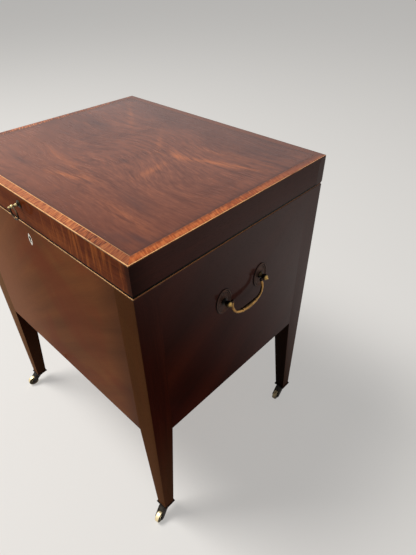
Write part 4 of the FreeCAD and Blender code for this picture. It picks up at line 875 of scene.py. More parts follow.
class FinishBook:
    """Builds each finish once and hands it out."""

    def __init__(self, plan: LidPlan) -> None:
        """Describe every finish of the box.

        Args:
            plan: Where the lid's top lies.
        """
        middle = (plan.centre_x, plan.centre_y)
        border = Border(middle, (plan.half_x, plan.half_y))
        low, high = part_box("lid_panel")
        field = ((high.x - low.x) / 2, (high.y - low.y) / 2)
        front = dict(
            dark=tint(84, 48, 22), middle=tint(118, 68, 35), light=tint(146, 84, 42), cloud=tint(118, 52, 26),
        )
        # Painted shade: the sides, posts and back wear the front's mahogany written much darker, a shaded copy for the
        # faces that the light misses.
        side = dict(dark=tint(40, 11, 4), middle=tint(58, 17, 6), light=tint(80, 28, 12), cloud=tint(66, 15, 5),
                    side_polish=0.32, polish=0.025)
        # Painted sheen: the upper back of the sides is washed grey, standing in for the reflection that the polish
        # shows there.
        upper_back_sheen = Wash(tint(116, 91, 87), 0.45, (0.0, 0.8, 0.6), 0.08, 0.47)
        shade = Wash(tint(20, 8, 5), 0.8, (0.0, -1.0, 0.0), 0.16, 0.225)
        # Painted light: faces that look forward are made lighter, as the light falls on them.
        lit_fronts = Wash(tint(92, 57, 29), 0.8, (0.0, -1.0, 0.0), 0.3, 0.8, by_facing=True)
        lid_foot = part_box("lid_front_rail")[0].z
        veneer = 0.0014
        post_low, post_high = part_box("leg_front_left")[0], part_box("leg_back_right")[1]
        core = Core(
            (post_low.x + veneer, post_low.y + veneer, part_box("front_panel")[0].z - veneer),
            (post_high.x - veneer, post_high.y - veneer, 1.0),
        )
        lid_core = Core(
            (middle[0] - plan.half_x + veneer, middle[1] - plan.half_y + veneer, 0.0),
            (middle[0] + plan.half_x - veneer, middle[1] + plan.half_y - veneer, plan.top - veneer),
        )
        self.finishes: dict[Stuff, Finish] = {
            Stuff.CARCASE_FRONT: Mahogany(
                "front_mahogany", Lay.FRONT_SLANT, **front, wander=0.05, wander_scale=4.0, ribbon_length=1.6,
                ribbon_width=17.0, fibre_share=0.14, contrast=1.5, cloud_share=0.7, keyhole_shade=self.keyhole(),
                core=core,
                # Painted light and shade: the front is lighter towards the left, where the light falls, and darker
                # towards the right.
                washes=(Wash(tint(156, 103, 72), 0.85, (-1.0, 0.0, 0.0), -0.02, 0.24),
                        Wash(tint(86, 44, 20), 0.6, (1.0, 0.0, -0.15), 0.1, 0.25),
                        Wash(tint(74, 42, 21), 0.6, (1.0, 0.0, 0.0), 0.165, 0.236)),
            ),
            Stuff.CARCASE_SIDE: Mahogany(
                "side_mahogany", Lay.SIDE_SLANT, **side, wander=0.05, wander_scale=4.0, ribbon_length=1.6,
                ribbon_width=15.0, fibre_share=0.14, contrast=1.5, cloud_share=0.5, core=core, washes=(upper_back_sheen,),
            ),
            Stuff.POST: Mahogany(
                "post_mahogany", Lay.UPRIGHT, **side, ribbon_width=48.0, contrast=1.5, cloud_share=0.4, core=core,
                washes=(upper_back_sheen, lit_fronts,
                        # Painted light: the post fronts towards the left are lighter where the light falls, and the
                        # posts lighten towards their feet, standing in for light thrown up from the floor.
                        Wash(tint(146, 106, 76), 0.68, (-1.0, 0.0, 0.0), 0.1, 0.25, only_facing=(0.0, -1.0, 0.0)),
                        Wash(tint(102, 66, 42), 0.6, (0.0, 0.0, -1.0), -0.36, -0.06)),
                inward_shade=(0.6, 0.9),
            ),
            Stuff.LID_FRONT: FlameRail(
                "lid_front_mahogany", Lay.ALONG_WIDTH, dark=tint(66, 28, 13), middle=tint(114, 54, 25),
                light=tint(150, 80, 38), cloud=tint(96, 40, 18), contrast=1.8, gap=lid_foot, core=lid_core,
                # Painted reflection and shade: a pale sheen towards the left end, and shade at the right end by the
                # corner.
                washes=(Wash(tint(150, 100, 78), 0.75, (-1.0, 0.0, 0.0), 0.04, 0.24),
                        Wash(tint(44, 20, 10), 0.8, (1.0, 0.0, 0.0), plan.half_x - 0.016, plan.half_x - 0.004)),
            ),
            Stuff.LID_SIDE: Mahogany(
                "lid_side_mahogany", Lay.ALONG_DEPTH, **{**side, "side_polish": 0.16}, contrast=1.6,
                gap=lid_foot, core=lid_core, washes=(upper_back_sheen, shade),
            ),
            Stuff.LID_BACK: Mahogany(
                "lid_back_mahogany", Lay.ALONG_WIDTH, **side, contrast=1.6, core=lid_core, washes=(upper_back_sheen,),
            ),
            Stuff.LID_TOP: CurlVeneer(
                "lid_top_mahogany", Lay.TOP, dark=tint(88, 50, 40), middle=tint(122, 73, 57),
                light=tint(152, 92, 68), cloud=tint(90, 56, 48), cloud_share=0.7, wander=0.07,
                wander_scale=3.6, ribbon_length=9.0, ribbon_width=100.0, fibre_length=42.0, fibre_width=330.0,
                fibre_share=0.6, contrast=1.8, roughness=0.26, shine=0.11, polish=0.0,
                # Painted sheen and light: greyer towards the back where the top shows a reflection, lighter towards the
                # front left where the light falls, and deeper red-brown towards the front right where less sheen shows.
                washes=(Wash(tint(100, 64, 54), 0.65, (-0.2, 0.98, 0.0), 0.04, 0.24),
                        Wash(tint(152, 92, 66), 0.3, (-0.4, -0.9, 0.0), 0.04, 0.16),
                        Wash(tint(104, 49, 28), 0.5, (0.6, -0.8, 0.0), 0.02, 0.3)),
                middle_point=middle, half_size=field, core=lid_core,
                curls=((5.0, 5.0, 95.0, 70.0, -36.0), (105.0, 85.0, 75.0, 50.0, 22.0),
                       (-150.0, 60.0, 90.0, 70.0, 16.0), (165.0, -70.0, 90.0, 50.0, 12.0),
                       (-60.0, -110.0, 70.0, 40.0, 10.0)),
                flames=(Mark(142.0, 62.0, 95.0, 8.0, 20.0, 0.85), Mark(76.0, 44.0, 26.0, 6.0, -24.0, 0.6),
                        Mark(88.0, -18.0, 9.0, 38.0, 8.0, 0.6), Mark(2.0, -130.0, 42.0, 8.0, 18.0, 0.9),
                        Mark(-150.0, 120.0, 80.0, 7.0, -38.0, 0.4), Mark(-60.0, -100.0, 120.0, 8.0, -6.0, 0.35),
                        Mark(170.0, -150.0, 90.0, 9.0, -4.0, 0.3), Mark(10.0, 60.0, 50.0, 6.0, -45.0, 0.4),
                        Mark(150.0, 102.0, 70.0, 10.0, 8.0, 0.35), Mark(-185.0, 30.0, 50.0, 6.0, 6.0, 0.35)),
                smoke=(Mark(222.0, -182.0, 46.0, 12.0, 30.0, 0.7), Mark(150.0, -112.0, 38.0, 14.0, -12.0, 0.7),
                       Mark(-168.0, 38.0, 42.0, 18.0, 8.0, 0.75),
                       Mark(-168.0, -28.0, 24.0, 3.5, 4.0, 0.8), Mark(190.0, 150.0, 90.0, 50.0, -12.0, 0.55),
                       Mark(-115.0, -10.0, 5.0, 40.0, 0.0, 0.45), Mark(-60.0, 160.0, 110.0, 16.0, -6.0, 0.5),
                       Mark(20.0, -34.0, 28.0, 3.5, 0.0, 0.5), Mark(-120.0, -150.0, 90.0, 12.0, -4.0, 0.5)),
            ),
            Stuff.CROSSBAND: Crossband("crossbanding", border),
            Stuff.STRINGING: Boxwood(
                "boxwood_stringing", clean_from=plan.top - 0.0011, border=border, sunk_back=0.85,
            ),
            Stuff.INNER_STRINGING: Boxwood(
                "inner_stringing", clean_from=plan.top - 0.0011, border=border, sunk_side=0.85, sunk_back=0.92,
                sunk_corner=0.7,
            ),
            Stuff.CARCASE_STRINGING: Boxwood(
                "carcase_stringing", clean_from=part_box("carcase_edge_lines")[0].z + 0.0009,
                clean_to=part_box("carcase_edge_lines")[1].z + 0.001, amber_share=0.4,
                dirt_share=0.28, far_side_dark=0.45, pale=tint(255, 200, 134), amber=tint(240, 146, 70),
            ),
            Stuff.INNER_WIDE: InnerWood("inner_wood_wide", Lay.ALONG_WIDTH),
            Stuff.INNER_DEEP: InnerWood("inner_wood_deep", Lay.ALONG_DEPTH),
            Stuff.GRIP_BRASS: OldBrass(
                "grip_brass", tint(188, 142, 80), tint(84, 58, 30), tint(20, 14, 9), rub=0.44, roughness=0.28,
                washes=(Wash(tint(22, 15, 10), 0.95, (0.0, -0.5, 0.85), 0.42, 0.8, by_facing=True),),
            ),
            Stuff.POST_BRASS: OldBrass(
                "post_brass", tint(214, 174, 100), tint(72, 52, 30), tint(22, 17, 12), rub=0.42, roughness=0.26,
                # Painted reflection: the posts go near black except at their outer ends, standing in for the dark side
                # panel that the brass mirrors.
                washes=(Wash(tint(8, 6, 5), 1.0, (-1.0, 0.0, 0.0), -0.2852, -0.2812, mirrored=True),),
            ),
            Stuff.RING_BRASS: OldBrass(
                "ring_brass", tint(142, 116, 84), tint(38, 27, 20), tint(12, 9, 7), rub=0.22, roughness=0.26,
            ),
            Stuff.CASTOR_BRASS: OldBrass(
                "castor_brass", tint(244, 226, 182), tint(196, 172, 120), tint(60, 48, 32), rub=0.75,
                roughness=0.42,
                # Painted shade: the wheels darken on faces that look sideways or down, and the back pair darken more,
                # standing in the box's shade.
                washes=(Wash(tint(24, 18, 12), 0.95, (1.0, 0.0, -0.35), 0.35, 0.75, by_facing=True, mirrored=True),
                        Wash(tint(66, 52, 36), 0.85, (0.0, 1.0, 0.0), 0.0, 0.12)),
            ),
            Stuff.FORK_BRASS: OldBrass(
                "fork_brass", tint(96, 88, 76), tint(26, 21, 16), tint(8, 6, 5), rub=0.12, roughness=0.3,
            ),
            Stuff.PULL_BRASS: OldBrass(
                "pull_brass", tint(224, 202, 146), tint(82, 64, 40), tint(18, 14, 10), rub=0.36, roughness=0.24,
                washes=(Wash(tint(14, 10, 8), 0.95, (0.0, 1.0, 0.0), plan.centre_y - plan.half_y - 0.005,
                             plan.centre_y - plan.half_y - 0.0025),),
            ),
            Stuff.FITTING_BRASS: OldBrass(
                "fitting_brass", tint(216, 186, 124), tint(96, 72, 42), tint(30, 24, 16), rub=0.42, roughness=0.26,
            ),
            Stuff.PLATE_BRASS: OldBrass(
                "plate_brass", tint(92, 62, 48), tint(56, 38, 32), tint(16, 10, 8), rub=0.3, roughness=0.4,
                # Painted shade, with some dirt in the grooves: every face that does not look straight out of a side
                # goes near black, so the plates' rims and grooves read dark.
                washes=(Wash(tint(5, 3, 2), 0.97, (-1.0, 0.0, -0.3), -0.97, -0.75, by_facing=True, mirrored=True),),
            ),
            Stuff.BONE: Bone("bone"),
            Stuff.IRON: OldIron("old_iron"),
        }
        self.made: dict[Stuff, bpy.types.Material] = {}

    @staticmethod
    def keyhole() -> tuple[float, float, float]:
        """Where the painted shade behind the keyhole lies: across, up, and how far it reaches."""
        low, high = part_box("escutcheon")
        return (low.x + high.x) / 2, (low.z + high.z) / 2, (high.x - low.x) / 2

    def material(self, stuff: Stuff) -> bpy.types.Material:
        """The finish as a material, built when it is first asked for."""
        if stuff not in self.made:
            self.made[stuff] = self.finishes[stuff].make()
        return self.made[stuff]


class Workbench:
    """Turns meshes into pieces that ride on a body, and dresses the frame's own nodes."""

    def __init__(self, book: FinishBook) -> None:
        """Keep the finishes at hand.

        Args:
            book: All the finishes.
        """
        self.book = book
        self.count = 0

    def dress(self, stuff: Stuff, *nodes: str) -> None:
        """Give nodes of the frame a finish.

        Args:
            stuff: The finish to wear.
            nodes: Names of the nodes.
        """
        for node in nodes:
            mesh = frame["nodes"][node].data
            mesh.materials.clear()
            mesh.materials.append(self.book.material(stuff))
            LOG.info("dressed %s with %s", node, stuff.name.lower())

    def fit(self, name: str, mesh: bpy.types.Mesh, stuff: Stuff, body: str, *nodes: str,
            crease: float = 38.0, smooth: bool = True) -> bpy.types.Object:
        """Make a mesh a piece of the box.

        Args:
            name: What the piece is called.
            mesh: Its shape, in the frame.
            stuff: The finish it wears.
            body: The body that it rides on.
            nodes: Nodes that it stands for.
            crease: Degrees past which an edge stays sharp.
            smooth: Whether every face is shaded smooth; if not, the mesh says which are.

        Returns:
            The finished piece.
        """
        mesh.name = name
        mesh.materials.clear()
        mesh.materials.append(self.book.material(stuff))
        if smooth:
            mesh.shade_smooth()
        mesh.set_sharp_from_angle(angle=math.radians(crease))
        piece = bpy.data.objects.new(name, mesh)
        bpy.context.scene.collection.objects.link(piece)
        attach(piece, body)
        if nodes:
            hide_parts(*nodes)
        self.count += 1
        LOG.info("fitted %s to %s, %d faces", name, body, len(mesh.polygons))
        return piece


def finished_mesh(work: bmesh.types.BMesh, name: str) -> bpy.types.Mesh:
    """Turn edited faces into a mesh whose closed shells face outwards.

    Args:
        work: The faces, which are freed.
        name: Name for the mesh.

    Returns:
        The mesh.
    """
    bmesh.ops.remove_doubles(work, verts=work.verts[:], dist=MERGE_DISTANCE)
    bmesh.ops.recalc_face_normals(work, faces=work.faces[:])
    mesh = bpy.data.meshes.new(name)
    work.to_mesh(mesh)
    work.free()
    return mesh


def joined(meshes: Sequence[bpy.types.Mesh], name: str) -> bpy.types.Mesh:
    """Put several meshes together as one, and drop them."""
    work = bmesh.new()
    for mesh in meshes:
        work.from_mesh(mesh)
        bpy.data.meshes.remove(mesh)
    result = bpy.data.meshes.new(name)
    work.to_mesh(result)
    work.free()
    return result


def ring_stack(rings: Sequence[Sequence[Vector]], name: str, looped: bool = False) -> bpy.types.Mesh:
    """Skin a stack of rings, with caps or closed on itself.

    Args:
        rings: Points of each ring, all with the same number.
        name: Name for the mesh.
        looped: Whether the last ring joins the first.

    Returns:
        The closed mesh.
    """
    work = bmesh.new()
    rows = [[work.verts.new(point) for point in ring] for ring in rings]
    sides = len(rows[0])
    pairs = list(zip(rows, rows[1:] + ([rows[0]] if looped else [])))
    for low, high in pairs:
        for step in range(sides):
            after = (step + 1) % sides
            work.faces.new((low[step], low[after], high[after], high[step]))
    if not looped:
        work.faces.new(rows[0][::-1])
        work.faces.new(rows[-1])
    return finished_mesh(work, name)


def turning(profile: Sequence[tuple[float, float]], placing: Matrix, name: str, sides: int = 40,
            looped: bool = False) -> bpy.types.Mesh:
    """Turn a profile about an axis, as on a lathe.

    Args:
        profile: Radius and height of each station, in millimetres.
        placing: Where the axis stands, in metres.
        name: Name for the mesh.
        sides: Facets round the axis.
        looped: Whether the profile closes on itself, for a piece with a bore.

    Returns:
        The turned mesh.
    """
    rings = [
        [
            placing @ Vector((
                radius * MM * math.cos(2 * math.pi * step / sides),
                radius * MM * math.sin(2 * math.pi * step / sides),
                height * MM,
            ))
            for step in range(sides)
        ]
        for radius, height in profile
    ]
    return ring_stack(rings, name, looped)


def arc(centre: float, radius: float, start: float, end: float, steps: int) -> list[tuple[float, float]]:
    """Stations of a ball turned about the lathe's axis.

    Args:
        centre: Height of the ball's middle.
        radius: The ball's radius.
        start: Angle above the ball's equator at which to start, in degrees.
        end: Angle at which to end.
        steps: How many steps to take.

    Returns:
        Radius and height of each station.
    """
    angles = [math.radians(start + (end - start) * step / steps) for step in range(steps + 1)]
    return [(radius * math.cos(angle), centre + radius * math.sin(angle)) for angle in angles]


def bored(mesh: bpy.types.Mesh, tools: Sequence[bpy.types.Mesh], name: str) -> bpy.types.Mesh:
    """Cut tools away from a mesh.

    Args:
        mesh: What to cut.
        tools: Closed meshes to take away.
        name: Name for the result.

    Returns:
        The cut mesh.
    """
    blank = bpy.data.objects.new(name, mesh)
    bpy.context.scene.collection.objects.link(blank)
    cutters = []
    for tool in tools:
        cutter = bpy.data.objects.new("cutter", tool)
        bpy.context.scene.collection.objects.link(cutter)
        cut = blank.modifiers.new("bore", "BOOLEAN")
        cut.operation = "DIFFERENCE"
        cut.solver = "EXACT"
        cut.object = cutter
        cutters.append(cutter)
    graph = bpy.context.evaluated_depsgraph_get()
    result = bpy.data.meshes.new_from_object(blank.evaluated_get(graph))
    for spent in [blank, *cutters]:
        shape = spent.data
        bpy.data.objects.remove(spent)
        bpy.data.meshes.remove(shape)
    return result


def merged_copy(node: str) -> bmesh.types.BMesh:
    """A copy of a node's faces with its loose triangles joined into flat faces."""
    work = bmesh.new()
    work.from_mesh(frame["nodes"][node].data)
    bmesh.ops.remove_doubles(work, verts=work.verts[:], dist=MERGE_DISTANCE)
    bmesh.ops.dissolve_limit(
        work, angle_limit=math.radians(0.4), use_dissolve_boundaries=False, verts=work.verts[:],
        edges=work.edges[:],
    )
    return work


def softened(node: str, width: float, chosen: Callable[[Vector, Vector], bool],
             planar: bool = True) -> bpy.types.Mesh:
    """Copy a node with some of its sharp arrises rounded, as sanding and two centuries leave them.

    Args:
        node: The node to copy.
        width: How far the rounding reaches, in millimetres.
        chosen: Says from an edge's middle and direction whether it is rounded.
        planar: Whether the node's own faces are flat, so that only the rounding is shaded smooth.

    Returns:
        The softened mesh.
    """
    work = merged_copy(node)
    edges = []
    for edge in work.edges:
        if len(edge.link_faces) != 2 or edge.calc_face_angle_signed() < math.radians(40):
            continue
        start, end = (vertex.co for vertex in edge.verts)
        if (end - start).length > width * MM * 3 and chosen((start + end) / 2, (end - start).normalized()):
            edges.append(edge)
    rounding = bmesh.ops.bevel(
        work, geom=edges, offset=width * MM, offset_type="OFFSET", segments=3, profile=0.5, affect="EDGES",
        clamp_overlap=True,
    )
    rounded = set(rounding["faces"])
    for face in work.faces:
        face.smooth = face in rounded or not planar
    mesh = bpy.data.meshes.new(node)
    work.to_mesh(mesh)
    work.free()
    if mesh.has_custom_normals:
        mesh.attributes.remove(mesh.attributes["custom_normal"])
    return mesh


def shells(node: str) -> list[tuple[Vector, Vector]]:
    """Lowest and highest corner of each separate solid in a node."""
    work = bmesh.new()
    work.from_mesh(frame["nodes"][node].data)
    bmesh.ops.remove_doubles(work, verts=work.verts[:], dist=MERGE_DISTANCE)
    seen: set[int] = set()
    boxes = []
    work.verts.index_update()
    for seed in work.verts:
        if seed.index in seen:
            continue
        seen.add(seed.index)
        stack, points = [seed], []
        while stack:
            vertex = stack.pop()
            points.append(vertex.co.copy())
            for edge in vertex.link_edges:
                other = edge.other_vert(vertex)
                if other.index not in seen:
                    seen.add(other.index)
                    stack.append(other)
        low = Vector([min(point[axis] for point in points) for axis in range(3)])
        high = Vector([max(point[axis] for point in points) for axis in range(3)])
        boxes.append((low, high))
    work.free()
    return boxes


class ShapeTree:
    """A geometry node tree that is built in the script and turned into a plain mesh."""

    def __init__(self, name: str) -> None:
        """Start an empty tree with a geometry input and output.

        Args:
            name: What the tree makes.
        """
        self.group = bpy.data.node_groups.new(name, "GeometryNodeTree")
        self.group.interface.new_socket("Geometry", in_out="INPUT", socket_type="NodeSocketGeometry")
        self.group.interface.new_socket("Geometry", in_out="OUTPUT", socket_type="NodeSocketGeometry")
        self.identifiers: dict[str, str] = {}
        self.entry: bpy.types.Node | None = None

    def inlet(self, name: str, kind: str) -> None:
        """Add a named input, before the first node is made."""
        made = self.group.interface.new_socket(name, in_out="INPUT", socket_type=kind)
        self.identifiers[name] = made.identifier

    def given(self, name: str) -> bpy.types.NodeSocket:
        """One of the tree's own inputs."""
        if self.entry is None:
            self.entry = self.group.nodes.new("NodeGroupInput")
        return self.entry.outputs[name]

    def node(self, kind: str, settings: dict | None = None, values: dict | None = None) -> bpy.types.Node:
        """Add one node.

        Args:
            kind: Blender's name for the node type.
            settings: Properties to set first.
            values: Constants or sockets for the inputs, by name or number.

        Returns:
            The node.
        """
        made = self.group.nodes.new(kind)
        for key, setting in (settings or {}).items():
            setattr(made, key, setting)
        for key, value in (values or {}).items():
            if isinstance(value, bpy.types.NodeSocket):
                self.group.links.new(value, made.inputs[key])
            else:
                made.inputs[key].default_value = value
        return made

    def close(self, shape: bpy.types.NodeSocket) -> None:
        """End the tree: make instances real and set the material."""
        real = self.node("GeometryNodeRealizeInstances", None, {0: shape})
        worn = self.node(
            "GeometryNodeSetMaterial", None, {"Geometry": real.outputs[0], "Material": self.given("Material")}
        )
        output = self.group.nodes.new("NodeGroupOutput")
        self.group.links.new(worn.outputs[0], output.inputs[0])

    def grow(self, base: bpy.types.Mesh, values: dict) -> bpy.types.Mesh:
        """Run the tree on a base mesh.

        Args:
            base: What the tree starts from.
            values: The inputs by name.

        Returns:
            The plain mesh that the tree makes.
        """
        holder = bpy.data.objects.new("holder", base)
        bpy.context.scene.collection.objects.link(holder)
        modifier = holder.modifiers.new("shape", "NODES")
        modifier.node_group = self.group
        for name, value in values.items():
            modifier[self.identifiers[name]] = value
        graph = bpy.context.evaluated_depsgraph_get()
        mesh = bpy.data.meshes.new_from_object(holder.evaluated_get(graph))
        holder.modifiers.remove(modifier)
        bpy.data.objects.remove(holder)
        bpy.data.meshes.remove(base)
        return mesh


class SweptBar:
    """Geometry tree: a round bar that follows a path and swells with it."""

    THICKNESS = "thickness"

    def __init__(self) -> None:
        """Build the tree."""
        tree = ShapeTree("swept_bar")
        tree.inlet("Steps", "NodeSocketInt")
        tree.inlet("Sides", "NodeSocketInt")
        tree.inlet("Material", "NodeSocketMaterial")
        path = tree.node("GeometryNodeMeshToCurve", None, {"Mesh": tree.given("Geometry")})
        smooth = tree.node(
            "GeometryNodeCurveSplineType", {"spline_type": "CATMULL_ROM"}, {"Curve": path.outputs[0]}
        )
        even = tree.node(
            "GeometryNodeResampleCurve", None, {"Curve": smooth.outputs[0], "Count": tree.given("Steps")}
        )
        thickness = tree.node("GeometryNodeInputNamedAttribute", None, {"Name": self.THICKNESS})
        section = tree.node(
            "GeometryNodeCurvePrimitiveCircle", None, {"Resolution": tree.given("Sides"), "Radius": 1.0}
        )
        swept = tree.node(
            "GeometryNodeCurveToMesh",
            None,
            {
                "Curve": even.outputs[0],
                "Profile Curve": section.outputs[0],
                "Scale": thickness.outputs[0],
                "Fill Caps": True,
            },
        )
        tree.close(swept.outputs[0])
        self.tree = tree

    def along(self, stations: Sequence[tuple[Vector, float]], material: bpy.types.Material, steps: int,
              sides: int = 28) -> bpy.types.Mesh:
        """Sweep one bar.

        Args:
            stations: Points of the path, each with the bar's radius there in metres.
            material: What the bar wears.
            steps: Rings along the bar.
            sides: Facets round it.

        Returns:
            The bar's mesh.
        """
        base = bpy.data.meshes.new("path")
        points = [tuple(point) for point, _ in stations]
        base.from_pydata(points, [(step, step + 1) for step in range(len(points) - 1)], [])
        layer = base.attributes.new(self.THICKNESS, "FLOAT", "POINT")
        layer.data.foreach_set("value", [radius for _, radius in stations])
        return self.tree.grow(base, {"Steps": steps, "Sides": sides, "Material": material})


class RoundRing:
    """Geometry tree: a ring of round wire, standing in the frame's XZ plane."""

    def __init__(self) -> None:
        """Build the tree."""
        tree = ShapeTree("round_ring")
        tree.inlet("Ring Radius", "NodeSocketFloat")
        tree.inlet("Wire Radius", "NodeSocketFloat")
        tree.inlet("Middle", "NodeSocketVector")
        tree.inlet("Material", "NodeSocketMaterial")
        path = tree.node(
            "GeometryNodeCurvePrimitiveCircle", None, {"Resolution": 96, "Radius": tree.given("Ring Radius")}
        )
        wire = tree.node(
            "GeometryNodeCurvePrimitiveCircle", None, {"Resolution": 20, "Radius": tree.given("Wire Radius")}
        )
        swept = tree.node(
            "GeometryNodeCurveToMesh", None, {"Curve": path.outputs[0], "Profile Curve": wire.outputs[0]}
        )
        stood = tree.node(
            "GeometryNodeTransform",
            None,
            {"Geometry": swept.outputs[0], "Rotation": (math.pi / 2, 0.0, 0.0), "Translation": tree.given("Middle")},
        )
        tree.close(stood.outputs[0])
        self.tree = tree

    def at(self, middle: Vector, ring: float, wire: float, material: bpy.types.Material) -> bpy.types.Mesh:
        """Make one ring from its middle and its two radii, in metres."""
        base = bpy.data.meshes.new("empty")
        values = {"Ring Radius": ring, "Wire Radius": wire, "Middle": middle[:], "Material": material}
        return self.tree.grow(base, values)


class SlottedScrews:
    """Geometry tree: one slotted countersunk screw, repeated at every point it is given."""

    DRIVEN = "driven"

    def __init__(self) -> None:
        """Build the tree."""
        tree = ShapeTree("slotted_screws")
        for name in ("Head Radius", "Head Depth", "Shank Radius", "Length", "Slot Width", "Slot Depth"):
            tree.inlet(name, "NodeSocketFloat")
        tree.inlet("Seed", "NodeSocketInt")
        tree.inlet("Material", "NodeSocketMaterial")
        head = tree.node(
            "GeometryNodeMeshCone",
            {"fill_type": "NGON"},
            {
                "Vertices": 28,
                "Radius Top": tree.given("Shank Radius"),
                "Radius Bottom": tree.given("Head Radius"),
                "Depth": tree.given("Head Depth"),
            },
        )
        shank = tree.node(
            "GeometryNodeMeshCone",
            {"fill_type": "NGON"},
            {
                "Vertices": 28,
                "Radius Top": 0.0002,
                "Radius Bottom": tree.given("Shank Radius"),
                "Depth": self.scaled(tree, tree.given("Length"), 1.0),
            },
        )
        slot_size = tree.node(
            "ShaderNodeCombineXYZ",
            None,
            {
                0: self.scaled(tree, tree.given("Head Radius"), 2.4),
                1: tree.given("Slot Width"),
                2: self.scaled(tree, tree.given("Slot Depth"), 2.0),
            },
        )
        slot = tree.node("GeometryNodeMeshCube", None, {"Size": slot_size.outputs[0]})
        rod = tree.node("GeometryNodeMeshBoolean", {"operation": "UNION", "solver": "EXACT"})
        tree.group.links.new(head.outputs[0], rod.inputs["Mesh 2"])
        tree.group.links.new(shank.outputs[0], rod.inputs["Mesh 2"])
        screw = tree.node(
            "GeometryNodeMeshBoolean", {"operation": "DIFFERENCE", "solver": "EXACT"}, {"Mesh 1": rod.outputs[0]}
        )
        tree.group.links.new(slot.outputs[0], screw.inputs["Mesh 2"])
        driven = tree.node("GeometryNodeInputNamedAttribute", {"data_type": "FLOAT_VECTOR"}, {"Name": self.DRIVEN})
        aimed = tree.node("FunctionNodeAlignRotationToVector", {"axis": "Z"}, {"Vector": driven.outputs[0]})
        angle = tree.node(
            "FunctionNodeRandomValue", {"data_type": "FLOAT"}, {2: 0.0, 3: math.pi, "Seed": tree.given("Seed")}
        )
        spin = tree.node("FunctionNodeAxisAngleToRotation", None, {"Axis": (0.0, 0.0, 1.0), "Angle": angle.outputs[1]})
        turned = tree.node(
            "FunctionNodeRotateRotation",
            {"rotation_space": "LOCAL"},
            {"Rotation": aimed.outputs[0], "Rotate By": spin.outputs[0]},
        )
        placed = tree.node(
            "GeometryNodeInstanceOnPoints",
            None,
            {"Points": tree.given("Geometry"), "Instance": screw.outputs[0], "Rotation": turned.outputs[0]},
        )
        tree.close(placed.outputs[0])
        self.tree = tree

    @staticmethod
    def scaled(tree: ShapeTree, length: bpy.types.NodeSocket, share: float) -> bpy.types.NodeSocket:
        """A length times a plain number."""
        made = tree.node("ShaderNodeMath", {"operation": "MULTIPLY"}, {0: length, 1: share})
        return made.outputs[0]

    def drive(self, mouths: Sequence[Vector], direction: Vector, screw: "Screw", seed: int,
              material: bpy.types.Material) -> bpy.types.Mesh:
        """Drive screws into their mouths.

        Args:
            mouths: Middles of the screws' flat heads.
            direction: Way that the screws point.
            screw: Sizes of the screws.
            seed: Picks how the slots are turned.
            material: What they are made of.

        Returns:
            All the screws as one mesh.
        """
        base = bpy.data.meshes.new("mouths")
        base.from_pydata([tuple(mouth) for mouth in mouths], [], [])
        layer = base.attributes.new(self.DRIVEN, "FLOAT_VECTOR", "POINT")
        layer.data.foreach_set("vector", [part for _ in mouths for part in direction])
        values = {
            "Head Radius": screw.head_radius * MM,
            "Head Depth": screw.head_depth * MM,
            "Shank Radius": screw.shank_radius * MM,
            "Length": screw.length * MM,
            "Slot Width": screw.slot_width * MM,
            "Slot Depth": screw.slot_depth * MM,
            "Seed": seed,
            "Material": material,
        }
        return self.tree.grow(base, values)


class CrossbandLeaves:
    """Geometry tree: thin leaves of veneer grown up from their plans, each with a tone of its own."""

    TONE = "leaf_tone"

    def __init__(self) -> None:
        """Build the tree."""
        tree = ShapeTree("crossband_leaves")
        tree.inlet("Thickness", "NodeSocketFloat")
        tree.inlet("Weld", "NodeSocketFloat")
        tree.inlet("Seed", "NodeSocketInt")
        tree.inlet("Material", "NodeSocketMaterial")
        tone = tree.node(
            "FunctionNodeRandomValue", {"data_type": "FLOAT"}, {2: 0.0, 3: 1.0, "Seed": tree.given("Seed")}
        )
        toned = tree.node(
            "GeometryNodeStoreNamedAttribute",
            {"data_type": "FLOAT", "domain": "FACE"},
            {"Geometry": tree.given("Geometry"), "Name": self.TONE, "Value": tone.outputs[1]},
        )
        grown = tree.node(
            "GeometryNodeExtrudeMesh",
            {"mode": "FACES"},
            {
                "Mesh": toned.outputs[0],
                "Offset": (0.0, 0.0, 1.0),
                "Offset Scale": tree.given("Thickness"),
                "Individual": True,
            },
        )
        underside = tree.node("GeometryNodeFlipFaces", None, {"Mesh": toned.outputs[0]})
        both = tree.node("GeometryNodeJoinGeometry")
        tree.group.links.new(grown.outputs[0], both.inputs[0])
        tree.group.links.new(underside.outputs[0], both.inputs[0])
        welded = tree.node(
            "GeometryNodeMergeByDistance", None, {"Geometry": both.outputs[0], "Distance": tree.given("Weld")}
        )
        tree.close(welded.outputs[0])
        self.tree = tree

    def grow(self, plans: Sequence[Sequence[Vector]], thickness: float, seed: int,
             material: bpy.types.Material) -> bpy.types.Mesh:
        """Grow the leaves.

        Args:
            plans: Outline of each leaf on its bed, seen from above.
            thickness: The veneer's thickness in metres.
            seed: Picks the leaves' tones.
            material: What they wear.

        Returns:
            All the leaves as one mesh.
        """
        points, faces = [], []
        for plan in plans:
            faces.append(tuple(range(len(points), len(points) + len(plan))))
            points.extend(tuple(point) for point in plan)
        base = bpy.data.meshes.new("plans")
        base.from_pydata(points, [], faces)
        values = {"Thickness": thickness, "Weld": 0.00001, "Seed": seed, "Material": material}
        return self.tree.grow(base, values)


